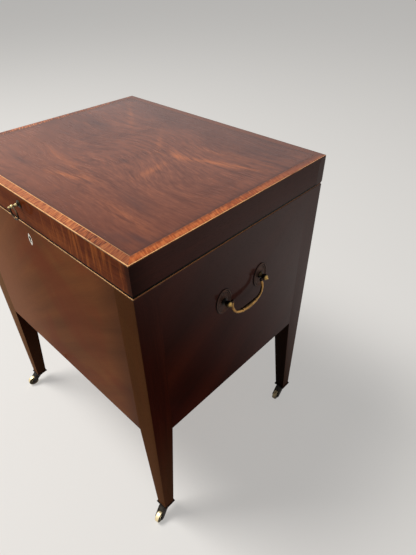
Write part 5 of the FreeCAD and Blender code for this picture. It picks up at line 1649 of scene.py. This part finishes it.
@dataclass
class Casework:
    """The box below the lid: posts, panels, its bottom and the bottle divisions."""

    bench: Workbench
    arris: float = 0.9
    foot_arris: float = 0.6
    corners: tuple[str, ...] = ("front_left", "front_right", "back_left", "back_right")

    def build(self) -> None:
        """Round the posts' arrises and dress every board."""
        panels_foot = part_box("front_panel")[0].z
        for corner in self.corners:
            self.post(corner, panels_foot)
        for side in ("front", "back", "left", "right"):
            stuff = Stuff.CARCASE_FRONT if side == "front" else Stuff.CARCASE_SIDE
            if side == "back":
                stuff = Stuff.LID_BACK
            self.panel(side, stuff, panels_foot)
        self.bench.dress(Stuff.INNER_WIDE, "bottom_board", "bottom_battens", "long_divisions")
        self.bench.dress(Stuff.INNER_DEEP, "cross_divisions")

    def post(self, corner: str, panels_foot: float) -> None:
        """One post: its outer arris is rounded all the way down, the others below the panels."""
        node = f"leg_{corner}"
        low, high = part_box(node)
        outer_x = low.x if corner.endswith("left") else high.x
        outer_y = low.y if corner.startswith("front") else high.y

        def chosen(middle: Vector, direction: Vector) -> bool:
            """Upright arrises, but not where a panel lies flush with the post."""
            if abs(direction.z) < 0.9:
                return False
            outermost = abs(middle.x - outer_x) < 0.0002 and abs(middle.y - outer_y) < 0.0002
            return outermost or middle.z < panels_foot - 0.001

        mesh = softened(node, self.arris, chosen)
        self.bench.fit(f"post_{corner}", mesh, Stuff.POST, "carcase", node, smooth=False)

    def panel(self, side: str, stuff: Stuff, panels_foot: float) -> None:
        """One panel, with the lower arris of its show face eased."""
        node = f"{side}_panel"
        low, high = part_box(node)
        axis = 1 if side in ("front", "back") else 0
        face = high[axis] if side in ("back", "right") else low[axis]

        def chosen(middle: Vector, direction: Vector) -> bool:
            """The lower edge of the show face."""
            return abs(middle[axis] - face) < 0.0002 and abs(middle.z - panels_foot) < 0.0002

        mesh = softened(node, self.foot_arris, chosen)
        self.bench.fit(f"{side}_board", mesh, stuff, "carcase", node, smooth=False)


@dataclass
class Stringing:
    """Boxwood lines let into the corners of the lid and the carcase, with their outer arris rubbed round."""

    bench: Workbench
    plan: LidPlan
    rounding: float = 0.5
    lid_line: float = 1.15
    inner_line: float = 0.9

    def profile(self, width: float, depth: float) -> list[tuple[float, float]]:
        """Section of a line: distance in from the face and height below the top, in metres."""
        steps = 4
        corner = self.rounding * MM
        rounded = [
            (
                corner * (1 - math.sin(math.radians(90 * step / steps))),
                corner * (1 - math.cos(math.radians(90 * step / steps))),
            )
            for step in range(steps + 1)
        ]
        return [(width, 0.0), *rounded[::-1], (0.0, depth), (width, depth)]

    def run(self, corners: Sequence[tuple[Vector, Vector]], section: Sequence[tuple[float, float]],
            name: str, looped: bool) -> bpy.types.Mesh:
        """Carry a section round mitred corners.

        Args:
            corners: Point on the outer arris and the direction in from it, for each corner or end.
            section: Distance in and height below the arris of each point.
            name: Name for the mesh.
            looped: Whether the line goes all the way round.

        Returns:
            The line's mesh.
        """
        rings = [
            [point + inward * distance - Vector((0.0, 0.0, down)) for distance, down in section]
            for point, inward in corners
        ]
        return ring_stack(rings, name, looped)

    def build(self) -> None:
        """Lay the lid's outer and inner lines, and the carcase's line."""
        self.lid_lines()
        self.carcase_line()

    def lid_corners(self, inset: float) -> list[tuple[Vector, Vector]]:
        """The lid's four corners, drawn in by an inset."""
        plan = self.plan
        return [
            (
                Vector((
                    plan.centre_x + side_x * (plan.half_x - inset),
                    plan.centre_y + side_y * (plan.half_y - inset),
                    plan.top,
                )),
                Vector((-side_x, -side_y, 0.0)),
            )
            for side_x, side_y in ((-1, -1), (1, -1), (1, 1), (-1, 1))
        ]

    def lid_lines(self) -> None:
        """The square line at the lid's edge and the thin one inside the crossbanding."""
        low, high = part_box("lid_edge_lines")
        edge = self.run(
            self.lid_corners(0.0), self.profile(self.lid_line * MM, high.z - low.z), "lid_edge_stringing", True
        )
        self.bench.fit("lid_edge_stringing", edge, Stuff.STRINGING, "lid", "lid_edge_lines", crease=50.0)
        low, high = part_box("lid_inner_lines")
        depth = high.z - low.z
        inset = self.plan.half_x - (high.x - low.x) / 2
        width = self.inner_line * MM
        section = [(width, 0.0), (0.0, 0.0), (0.0, depth), (width, depth)]
        inner = self.run(self.lid_corners(inset), section, "lid_inner_stringing", True)
        self.bench.fit("lid_inner_stringing", inner, Stuff.INNER_STRINGING, "lid", "lid_inner_lines")

    def carcase_line(self) -> None:
        """The line round the front and the sides of the carcase, ending at the hinges' bevel."""
        low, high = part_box("carcase_edge_lines")
        corners = [
            (Vector((low.x, high.y, high.z)), Vector((1.0, 0.0, 0.0))),
            (Vector((low.x, low.y, high.z)), Vector((1.0, 1.0, 0.0))),
            (Vector((high.x, low.y, high.z)), Vector((-1.0, 1.0, 0.0))),
            (Vector((high.x, high.y, high.z)), Vector((-1.0, 0.0, 0.0))),
        ]
        height = high.z - low.z
        line = self.run(corners, self.profile(height, height), "carcase_stringing", False)
        self.bench.fit("carcase_stringing", line, Stuff.CARCASE_STRINGING, "carcase", "carcase_edge_lines",
                       crease=50.0)


@dataclass
class Lid:
    """The lid: its leaf of curl veneer, its rails and its crossbanding."""

    bench: Workbench
    plan: LidPlan
    leaves_wide: int = 9
    leaves_deep: int = 7
    joint: float = 0.05
    line: float = 1.15
    band: float = 12.0
    foot_arris: float = 0.5
    seed: int = 11

    def build(self) -> None:
        """Dress the leaf and the rails, and lay the crossbanding leaf by leaf."""
        self.bench.dress(Stuff.LID_TOP, "lid_panel")
        stuffs = {
            "front": Stuff.LID_FRONT, "back": Stuff.LID_BACK, "left": Stuff.LID_SIDE, "right": Stuff.LID_SIDE,
        }
        for side, stuff in stuffs.items():
            self.rail(side, stuff)
        self.crossbanding()

    def rail(self, side: str, stuff: Stuff) -> None:
        """One rail, with the lower arris of its show face eased."""
        node = f"lid_{side}_rail"
        low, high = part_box(node)
        axis = 1 if side in ("front", "back") else 0
        face = high[axis] if side in ("back", "right") else low[axis]

        def chosen(middle: Vector, direction: Vector) -> bool:
            """The lower edge of the show face."""
            return abs(middle[axis] - face) < 0.0002 and abs(middle.z - low.z) < 0.0002

        mesh = softened(node, self.foot_arris, chosen)
        self.bench.fit(f"lid_{side}_edge", mesh, stuff, "lid", node, smooth=False)

    def crossbanding(self) -> None:
        """Plan the leaves of all four sides, mitred at the corners, and grow them."""
        low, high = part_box("lid_crossbanding")
        inner = self.plan.half_x - (high.x - low.x) / 2 + self.band * MM
        outer = self.line * MM
        plans = []
        turns = ((1, 0, 0, 1), (0, 1, -1, 0), (-1, 0, 0, -1), (0, -1, 1, 0))
        for turn, (run_x, run_y, in_x, in_y) in enumerate(turns):
            wide = turn % 2 == 0
            half_run, half_deep = (self.plan.half_x, self.plan.half_y) if wide else (self.plan.half_y, self.plan.half_x)
            count = self.leaves_wide if wide else self.leaves_deep
            for outline in self.leaf_outlines(half_run, outer, inner, count):
                plans.append([
                    Vector((
                        self.plan.centre_x + run_x * along + in_x * (inward - half_deep),
                        self.plan.centre_y + run_y * along + in_y * (inward - half_deep),
                        low.z,
                    ))
                    for along, inward in outline
                ])
        material = self.bench.book.material(Stuff.CROSSBAND)
        mesh = CrossbandLeaves().grow(plans, high.z - low.z, self.seed, material)
        self.bench.fit("crossband_leaves", mesh, Stuff.CROSSBAND, "lid", "lid_crossbanding")

    def leaf_outlines(self, half_run: float, outer: float, inner: float,
                      count: int) -> list[list[tuple[float, float]]]:
        """Outlines of one side's leaves, along the side and in from its edge."""
        gap = self.joint * MM / 2
        ends = [half_run * (2 * step / count - 1) for step in range(count + 1)]
        outlines = []
        for start, end in zip(ends, ends[1:]):
            left = [max(start + gap, -(half_run - inset) + gap) for inset in (outer, inner)]
            right = [min(end - gap, half_run - inset - gap) for inset in (outer, inner)]
            outlines.append([(left[0], outer), (right[0], outer), (right[1], inner), (left[1], inner)])
        return outlines


@dataclass
class CarryingHandle:
    """One side's handle: two stepped oval plates, two turned posts and a swelling bail."""

    bench: Workbench
    side: str
    bar: SweptBar
    plate_width: float = 36.0
    plate_height: float = 50.0
    plate_drop: float = 0.8
    plate_thickness: float = 2.0
    stand: float = 11.5
    ball: float = 5.9
    span: float = 38.2
    drop: float = 32.0
    bow: float = 1.6
    lean: float = 10.0
    bail_course: tuple[tuple[float, float, float, float], ...] = (
        (1.0, -0.2, 0.0, 2.2), (1.0, 0.2, 0.1, 2.3), (1.0, 1.0, 0.26, 2.4), (1.0, 0.75, 0.42, 2.4),
        (0.985, 0.0, 0.56, 2.4), (0.93, 0.0, 0.69, 2.45), (0.82, 0.0, 0.81, 2.5), (0.67, 0.0, 0.895, 2.7),
        (0.53, 0.0, 0.94, 3.1), (0.47, 0.0, 0.955, 3.9), (0.43, 0.0, 0.962, 4.0), (0.39, 0.0, 0.968, 3.4),
        (0.28, 0.0, 0.982, 3.8), (0.14, 0.0, 0.995, 4.2),
    )

    @property
    def outward(self) -> int:
        """One on the right side, and minus one on the left."""
        return 1 if self.side == "right" else -1

    def placing(self, y: float, z: float) -> Matrix:
        """Lathe axis that points out of the side at a point of its face."""
        low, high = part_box(f"{self.side}_panel")
        face = high.x if self.outward > 0 else low.x
        turn = Matrix.Rotation(math.radians(90.0 * self.outward), 4, "Y")
        return Matrix.Translation((face, y, z)) @ turn

    def build(self) -> None:
        """Make the plates, the posts and the bail, and dress the nuts."""
        plates = shells(f"{self.side}_handle_backplates")
        middles = [((low.y + high.y) / 2, (low.z + high.z) / 2) for low, high in plates]
        meshes = [self.plate(self.placing(y, z - self.plate_drop * MM)) for y, z in middles]
        self.bench.fit(
            f"{self.side}_oval_plates", joined(meshes, "plates"), Stuff.PLATE_BRASS, "carcase",
            f"{self.side}_handle_backplates",
        )
        centre = (middles[0][0] + middles[1][0]) / 2
        posts = [self.post(self.placing(*middle), centre - middle[0]) for middle in middles]
        self.bench.fit(
            f"{self.side}_turned_posts", joined(posts, "posts"), Stuff.POST_BRASS, "carcase",
            f"{self.side}_handle_posts", crease=50.0,
        )
        self.bail(centre, middles[0][1])
        self.bench.dress(Stuff.PLATE_BRASS, f"{self.side}_handle_nuts")

    def plate(self, placing: Matrix) -> bpy.types.Mesh:
        """An oval plate stamped with a rolled rim, a dished field, an inner bead and a seat for the post."""
        half_wide, half_tall = self.plate_width / 2, self.plate_height / 2
        stations = [
            (half_wide, half_tall, 0.0), (half_wide, half_tall, 1.1), (half_wide - 0.25, half_tall - 0.25, 1.65),
            (half_wide - 0.8, half_tall - 0.8, 1.95), (half_wide - 1.5, half_tall - 1.5, 2.0),
            (half_wide - 2.2, half_tall - 2.2, 1.8), (half_wide - 2.7, half_tall - 2.7, 1.3),
            (half_wide - 3.1, half_tall - 3.1, 1.05), (half_wide - 4.0, half_tall - 4.0, 1.0),
            (half_wide - 4.4, half_tall - 4.4, 1.2), (half_wide - 4.8, half_tall - 4.8, 1.4),
            (half_wide - 5.2, half_tall - 5.2, 1.2), (half_wide - 5.6, half_tall - 5.6, 0.95),
            (9.6, 14.0, 0.95), (8.2, 9.6, 1.1), (7.2, 7.6, 1.3), (2.65, 2.65, 1.35), (2.65, 2.65, 0.0),
        ]
        sides = 72
        rings = []
        for wide, tall, height in stations:
            ring = []
            for step in range(sides):
                angle = 2 * math.pi * step / sides
                ring.append(placing @ (Vector((tall * math.cos(angle), wide * math.sin(angle), height)) * MM))
            rings.append(ring)
        return ring_stack(rings, "plate", True)

    def post(self, placing: Matrix, inward: float) -> bpy.types.Mesh:
        """A post turned with a flange, a cove, a ball and a button, and bored for the bail's end."""
        shank, nut_end = 2.58, -22.0
        profile = [
            (0.6, nut_end - 0.0), (shank, nut_end + 0.4), (shank, self.plate_thickness - 0.6),
            (6.2, self.plate_thickness - 0.55), (6.45, self.plate_thickness + 0.1), (6.4, self.plate_thickness + 1.0),
            (5.9, self.plate_thickness + 1.55), (5.2, self.plate_thickness + 1.75),
            (5.0, self.plate_thickness + 2.1), (4.2, self.plate_thickness + 2.6),
            (3.6, self.plate_thickness + 3.2), (3.4, self.plate_thickness + 3.8),
            (3.8, self.plate_thickness + 4.2),
        ]
        profile += arc(self.stand, self.ball, -42.0, 68.0, 16)
        profile += arc(self.stand + self.ball, 1.8, -8.0, 84.0, 6)
        mesh = turning(profile, placing, "post")
        reach = 1 if inward > 0 else -1
        start = placing @ Vector((0.0, 0.0, self.stand * MM)) - Vector((0.0, reach * MM, 0.0))
        axis = Matrix.Translation(start) @ Matrix.Rotation(math.radians(-90.0 * reach), 4, "X")
        drill = turning([(1.98, 0.0), (1.98, 14.0)], axis, "drill", 28)
        return bored(mesh, [drill], "post")

    def bail(self, centre: float, level: float) -> None:
        """The bail: arms that bow out, a pair of collars, and a grip that swells between them."""
        low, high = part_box(f"{self.side}_panel")
        face = high.x if self.outward > 0 else low.x
        placing = Matrix.Translation((face + self.outward * self.stand * MM, centre, level))
        placing = placing @ Matrix.Rotation(math.radians(-self.outward * self.lean), 4, "Y")

        def station(share: float, bowed: float, fallen: float, radius: float, end: int) -> tuple[Vector, float]:
            """One point of the course, on the front or the back arm."""
            along = end * (self.span * share + self.bow * bowed)
            return placing @ (Vector((0.0, along, -self.drop * fallen)) * MM), radius * MM

        half = [station(*row, -1) for row in self.bail_course]
        other = [station(*row, 1) for row in self.bail_course[::-1]]
        middle = (placing @ Vector((0.0, 0.0, -self.drop * MM)), 4.35 * MM)
        material = self.bench.book.material(Stuff.GRIP_BRASS)
        name = f"{self.side}_handle_bail"
        bar = self.bar.along([*half, middle, *other], material, 150)
        self.bench.fit(f"{self.side}_bail_bar", bar, Stuff.GRIP_BRASS, f"{self.side}_bail", name, crease=50.0)
        eyes = []
        for end in (-1, 1):
            turn = placing @ Matrix.Translation((0.0, end * self.span * MM, 0.0))
            turn = turn @ Matrix.Rotation(math.radians(-90.0 * end), 4, "X")
            eye = [(0.0, -3.1)] + arc(0.0, 3.1, -80.0, 44.0, 12)
            eye = [(max(radius, 0.05), height) for radius, height in eye]
            eye += [(1.88, 2.6), (1.88, 9.6), (1.5, 9.8), (0.05, 9.8)]
            eyes.append(turning(eye, turn, "eye", 32))
        self.bench.fit(f"{self.side}_bail_ends", joined(eyes, "ends"), Stuff.PLATE_BRASS, f"{self.side}_bail", name,
                       crease=50.0)


@dataclass
class RingPull:
    """The lid's ring pull: a turned post with a button, and the ring that swings in its eye."""

    bench: Workbench
    ring: RoundRing
    stand: float = 11.5
    eye: float = 3.4
    eye_bore: float = 1.75
    wire: float = 1.3
    level_above_ring: float = 10.73

    def build(self) -> None:
        """Turn and bore the post, make the ring and dress the nut."""
        low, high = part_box("pull_ring")
        middle = (low + high) / 2
        radius = (high.x - low.x) / 2 - self.wire * MM
        material = self.bench.book.material(Stuff.RING_BRASS)
        ring = self.ring.at(middle, radius, self.wire * MM, material)
        self.bench.fit("swinging_ring", ring, Stuff.RING_BRASS, "pull_ring", "pull_ring", crease=60.0)
        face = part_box("lid_front_rail")[0].y
        eye = Vector((0.0, middle.y, middle.z + self.level_above_ring * MM))
        placing = Matrix.Translation((0.0, face, eye.z)) @ Matrix.Rotation(math.radians(90.0), 4, "X")
        profile = [
            (0.5, -21.0), (1.98, -20.7), (1.98, 0.0), (6.0, 0.0), (6.25, 0.5), (6.1, 1.1), (5.5, 1.45), (5.0, 1.5),
            (4.4, 1.9), (3.2, 2.35), (2.3, 2.6), (1.95, 2.8),
        ]
        profile += arc(4.6, 2.9, -38.0, 38.0, 8)
        profile += arc(self.stand, self.eye, -52.0, 62.0, 14)
        profile += [(1.15, 15.0)]
        profile += arc(16.4, 1.9, -46.0, 86.0, 9)
        post = turning(profile, placing, "post", 36)
        across = Matrix.Translation(eye) @ Matrix.Rotation(math.radians(90.0), 4, "Y")
        drill = turning([(self.eye_bore, -7.0), (self.eye_bore, 7.0)], across, "drill", 28)
        self.bench.fit("pull_turning", bored(post, [drill], "post"), Stuff.PULL_BRASS, "lid", "pull_post",
                       crease=50.0)
        self.bench.dress(Stuff.PLATE_BRASS, "pull_nut")


@dataclass
class Escutcheon:
    """The bone escutcheon: a pointed oval with softened edges and its keyhole."""

    bench: Workbench
    points: int = 120
    keyhole_radius: float = 3.0
    keyhole_rise: float = 3.0
    slot_width: float = 3.6
    slot_length: float = 9.0
    dome: float = 0.25

    def oval_reach(self, half_wide: float, half_tall: float, direction: tuple[float, float]) -> float:
        """Distance from the keyhole's middle to the oval's edge.

        Args:
            half_wide: Half the oval's width.
            half_tall: Half its height.
            direction: Unit direction, across and up.

        Returns:
            The distance, in the sizes' unit.
        """
        radius = (half_wide * half_wide + half_tall * half_tall) / (2 * half_wide)
        reaches = []
        for side in (-1, 1):
            start_x, start_z = side * (radius - half_wide), self.keyhole_rise
            along = start_x * direction[0] + start_z * direction[1]
            apart = start_x * start_x + start_z * start_z - radius * radius
            reaches.append(-along + math.sqrt(along * along - apart))
        return min(reaches)

    def keyhole_reach(self, direction: tuple[float, float]) -> float:
        """Distance from the keyhole's middle to its edge."""
        if direction[1] >= 0:
            return self.keyhole_radius
        sideways = self.slot_width / 2 / max(abs(direction[0]), 0.001)
        downward = self.slot_length / -direction[1]
        return max(self.keyhole_radius, min(sideways, downward))

    def build(self) -> None:
        """Make the plate from loops that run from its seat, over its edge and down into the keyhole."""
        low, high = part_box("escutcheon")
        half_wide, half_tall = (high.x - low.x) / 2 / MM, (high.z - low.z) / 2 / MM
        middle = Vector(((low.x + high.x) / 2, low.y, (low.z + high.z) / 2))
        depth = (high.y - low.y) / MM
        loops = ((0.0, depth), (0.0, self.dome), (-0.35, 0.05), (-0.8, 0.0), (0.3, 0.0), (0.0, 0.2), (0.0, depth))
        rings = []
        for step, (spare, sunk) in enumerate(loops):
            ring = []
            for point in range(self.points):
                angle = 2 * math.pi * point / self.points
                way = (math.sin(angle), math.cos(angle))
                oval = self.oval_reach(half_wide, half_tall, way)
                reach = oval + spare if step < 4 else self.keyhole_reach(way) + spare
                place = Vector((way[0] * reach, sunk, way[1] * reach + self.keyhole_rise))
                ring.append(middle + place * MM)
            rings.append(ring)
        mesh = ring_stack(rings, "escutcheon", True)
        self.bench.fit("keyhole_escutcheon", mesh, Stuff.BONE, "carcase", "escutcheon")


@dataclass
class Castor:
    """One castor: a cast fork with eased edges, a turned wheel and its pins; its plate is dressed with the ironmongery.
    """

    bench: Workbench
    corner: str
    fork_arris: float = 0.55
    tread: float = 9.0
    hub: float = 9.8
    bore: float = 1.83

    def build(self) -> None:
        """Ease the fork, turn the wheel and dress the pins."""
        node = f"castor_fork_{self.corner}"
        mesh = softened(node, self.fork_arris, lambda middle, direction: True, planar=False)
        self.bench.fit(f"fork_{self.corner}", mesh, Stuff.FORK_BRASS, f"castor_{self.corner}", node)
        self.wheel()
        self.bench.dress(Stuff.PLATE_BRASS, f"castor_pins_{self.corner}")

    def wheel(self) -> None:
        """A wheel with a crowned tread, a dished face and a hub boss on each side."""
        node = f"castor_wheel_{self.corner}"
        low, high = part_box(node)
        radius = (high.z - low.z) / 2 / MM
        axle = next(joint for joint in frame["joints"] if joint["child"] == f"wheel_{self.corner}")["axis"]
        turn = Vector((0.0, 0.0, 1.0)).rotation_difference(Vector(axle)).to_matrix().to_4x4()
        placing = Matrix.Translation((low + high) / 2) @ turn
        half, boss = self.tread / 2, self.hub / 2
        one_side = [
            (self.bore, boss), (4.6, boss), (5.0, boss - 0.25), (5.2, half - 0.5), (6.0, half - 0.9),
            (radius - 3.2, half - 0.9), (radius - 2.5, half - 0.5), (radius - 1.9, half - 0.1),
            (radius - 1.2, half), (radius - 0.5, half - 0.35), (radius - 0.12, half - 1.1), (radius, half - 2.2),
        ]
        other_side = [(reach, -height) for reach, height in one_side[::-1]]
        mesh = turning([*one_side, *other_side], placing, "wheel", 64, True)
        self.bench.fit(f"wheel_of_{self.corner}", mesh, Stuff.CASTOR_BRASS, f"wheel_{self.corner}", node)


@dataclass
class Screw:
    """Sizes of the wood screws, in millimetres."""

    head_radius: float = 2.8
    head_depth: float = 1.6
    shank_radius: float = 1.4
    length: float = 12.0
    slot_width: float = 0.7
    slot_depth: float = 0.6


@dataclass
class Ironmongery:
    """Hinges, lock and all the screws that hold them."""

    bench: Workbench
    screw: Screw = field(default_factory=Screw)
    seed: int = 5

    def build(self) -> None:
        """Dress the leaves, the lock, the castor plates and the hinge pins, and drive the screws."""
        hinges = [f"{side}_hinge_{part}_leaf" for side in ("left", "right") for part in ("carcase", "lid")]
        self.bench.dress(Stuff.FITTING_BRASS, *hinges, "lock_cap", "lock_link_plate")
        self.bench.dress(Stuff.PLATE_BRASS, "lock_case", "lock_bolt", "castor_plates")
        self.bench.dress(Stuff.IRON, "hinge_pins")
        tree = SlottedScrews()
        up, down, forward = Vector((0.0, 0.0, 1.0)), Vector((0.0, 0.0, -1.0)), Vector((0.0, -1.0, 0.0))
        sets = (
            ("castor_screws", up, "carcase"), ("carcase_hinge_screws", down, "carcase"),
            ("lid_hinge_screws", up, "lid"), ("lock_screws", forward, "carcase"), ("link_plate_screws", up, "lid"),
        )
        for step, (node, direction, body) in enumerate(sets):
            mouths = [self.mouth(low, high, direction) for low, high in shells(node)]
            material = self.bench.book.material(Stuff.IRON)
            mesh = tree.drive(mouths, direction, self.screw, self.seed + step, material)
            self.bench.fit(f"driven_{node}", mesh, Stuff.IRON, body, node)

    @staticmethod
    def mouth(low: Vector, high: Vector, direction: Vector) -> Vector:
        """Middle of a screw's head, from the screw's box and the way it points."""
        middle = (low + high) / 2
        half = (high - low) / 2
        return middle - Vector([part * side for part, side in zip(half, direction)])


@dataclass
class Studio:
    """A pale floor, soft lamps and a white surround."""

    floor_size: float = 40.0
    key_at: tuple[float, float, float] = (-1.6, -1.2, 3.9)
    key_power: float = 168.0
    key_size: float = 1.7
    fill_at: tuple[float, float, float] = (2.6, -2.6, 1.8)
    fill_power: float = 3.0
    fill_size: float = 2.2
    surround: float = 0.13

    def build(self) -> None:
        """Lay the floor and set the lamps and the world."""
        self.floor()
        self.lamp("key", self.key_at, self.key_power, self.key_size)
        self.lamp("fill", self.fill_at, self.fill_power, self.fill_size)
        self.world()

    def floor(self) -> None:
        """One wide pale floor under the wheels."""
        half = self.floor_size / 2
        mesh = bpy.data.meshes.new("studio_floor")
        mesh.from_pydata([(-half, -half, 0.0), (half, -half, 0.0), (half, half, 0.0), (-half, half, 0.0)], [],
                         [(0, 1, 2, 3)])
        mesh.materials.append(PaleFloor("pale_floor").make())
        floor = bpy.data.objects.new("studio_floor", mesh)
        bpy.context.scene.collection.objects.link(floor)

    def lamp(self, name: str, place: tuple[float, float, float], power: float, size: float) -> None:
        """One square lamp that faces the box.

        Args:
            name: What it is called.
            place: Where it hangs, in metres.
            power: Its power in watts.
            size: Length of its sides in metres.
        """
        light = bpy.data.lights.new(name, "AREA")
        light.energy = power
        light.size = size
        lamp = bpy.data.objects.new(name, light)
        aim = Vector((0.0, 0.0, 0.45)) - Vector(place)
        lamp.location = place
        lamp.rotation_mode = "QUATERNION"
        lamp.rotation_quaternion = aim.to_track_quat("-Z", "Y")
        bpy.context.scene.collection.objects.link(lamp)

    def world(self) -> None:
        """White for camera and mirrors, and a gentle even light for the rest."""
        world = bpy.data.worlds.new("surround")
        world.use_nodes = True
        tree = world.node_tree
        tree.nodes.clear()
        rays = tree.nodes.new("ShaderNodeLightPath")
        seen = rays.outputs["Is Camera Ray"]
        for ray in ("Is Glossy Ray", "Is Transmission Ray"):
            more = tree.nodes.new("ShaderNodeMath")
            more.operation = "MAXIMUM"
            tree.links.new(seen, more.inputs[0])
            tree.links.new(rays.outputs[ray], more.inputs[1])
            seen = more.outputs[0]
        soft = tree.nodes.new("ShaderNodeBackground")
        soft.inputs["Strength"].default_value = self.surround
        white = tree.nodes.new("ShaderNodeBackground")
        white.inputs["Strength"].default_value = 1.0
        white.inputs["Color"].default_value = (1.0, 1.0, 1.0, 1.0)
        soft.inputs["Color"].default_value = (1.0, 1.0, 1.0, 1.0)
        mixed = tree.nodes.new("ShaderNodeMixShader")
        tree.links.new(seen, mixed.inputs[0])
        tree.links.new(soft.outputs[0], mixed.inputs[1])
        tree.links.new(white.outputs[0], mixed.inputs[2])
        output = tree.nodes.new("ShaderNodeOutputWorld")
        tree.links.new(mixed.outputs[0], output.inputs["Surface"])
        bpy.context.scene.world = world
        bpy.context.scene.view_settings.view_transform = "Standard"


@dataclass
class Viewpoint:
    """Where the picture is taken from: above the box's front right corner, looking down on it."""

    place: tuple[float, float, float] = (0.6143, -0.4365, 0.9718)
    azimuth: float = 43.56
    elevation: float = 38.49
    roll: float = -0.64
    lens: float = 27.96

    def build(self) -> None:
        """Set up the camera."""
        camera = bpy.data.cameras.new("viewpoint")
        camera.lens = self.lens
        camera.sensor_width = 36.0
        camera.sensor_fit = "AUTO"
        camera.clip_start = 0.02
        turn, rise, roll = (math.radians(angle) for angle in (self.azimuth, self.elevation, self.roll))
        back = Vector((math.sin(turn) * math.cos(rise), -math.cos(turn) * math.cos(rise), math.sin(rise)))
        right = Vector((0.0, 0.0, 1.0)).cross(back).normalized()
        up = back.cross(right)
        right, up = (
            right * math.cos(roll) + up * math.sin(roll),
            up * math.cos(roll) - right * math.sin(roll),
        )
        holder = bpy.data.objects.new("viewpoint", camera)
        axes = Matrix((right, up, back)).transposed().to_4x4()
        holder.matrix_world = Matrix.Translation(self.place) @ axes
        bpy.context.scene.collection.objects.link(holder)
        bpy.context.scene.camera = holder


def main() -> None:
    """Build every sub-assembly of the box in order, and log how many pieces were fitted."""
    logging.basicConfig(level=logging.INFO, format="%(message)s")
    Viewpoint().build()
    Studio().build()
    plan = LidPlan.read()
    bench = Workbench(FinishBook(plan))
    Casework(bench).build()
    Lid(bench, plan).build()
    Stringing(bench, plan).build()
    bar = SweptBar()
    for side in ("left", "right"):
        CarryingHandle(bench, side, bar).build()
    RingPull(bench, RoundRing()).build()
    Escutcheon(bench).build()
    for corner in Casework.corners:
        Castor(bench, corner).build()
    Ironmongery(bench).build()
    LOG.info("%d pieces fitted", bench.count)


if __name__ == "__main__":
    main()
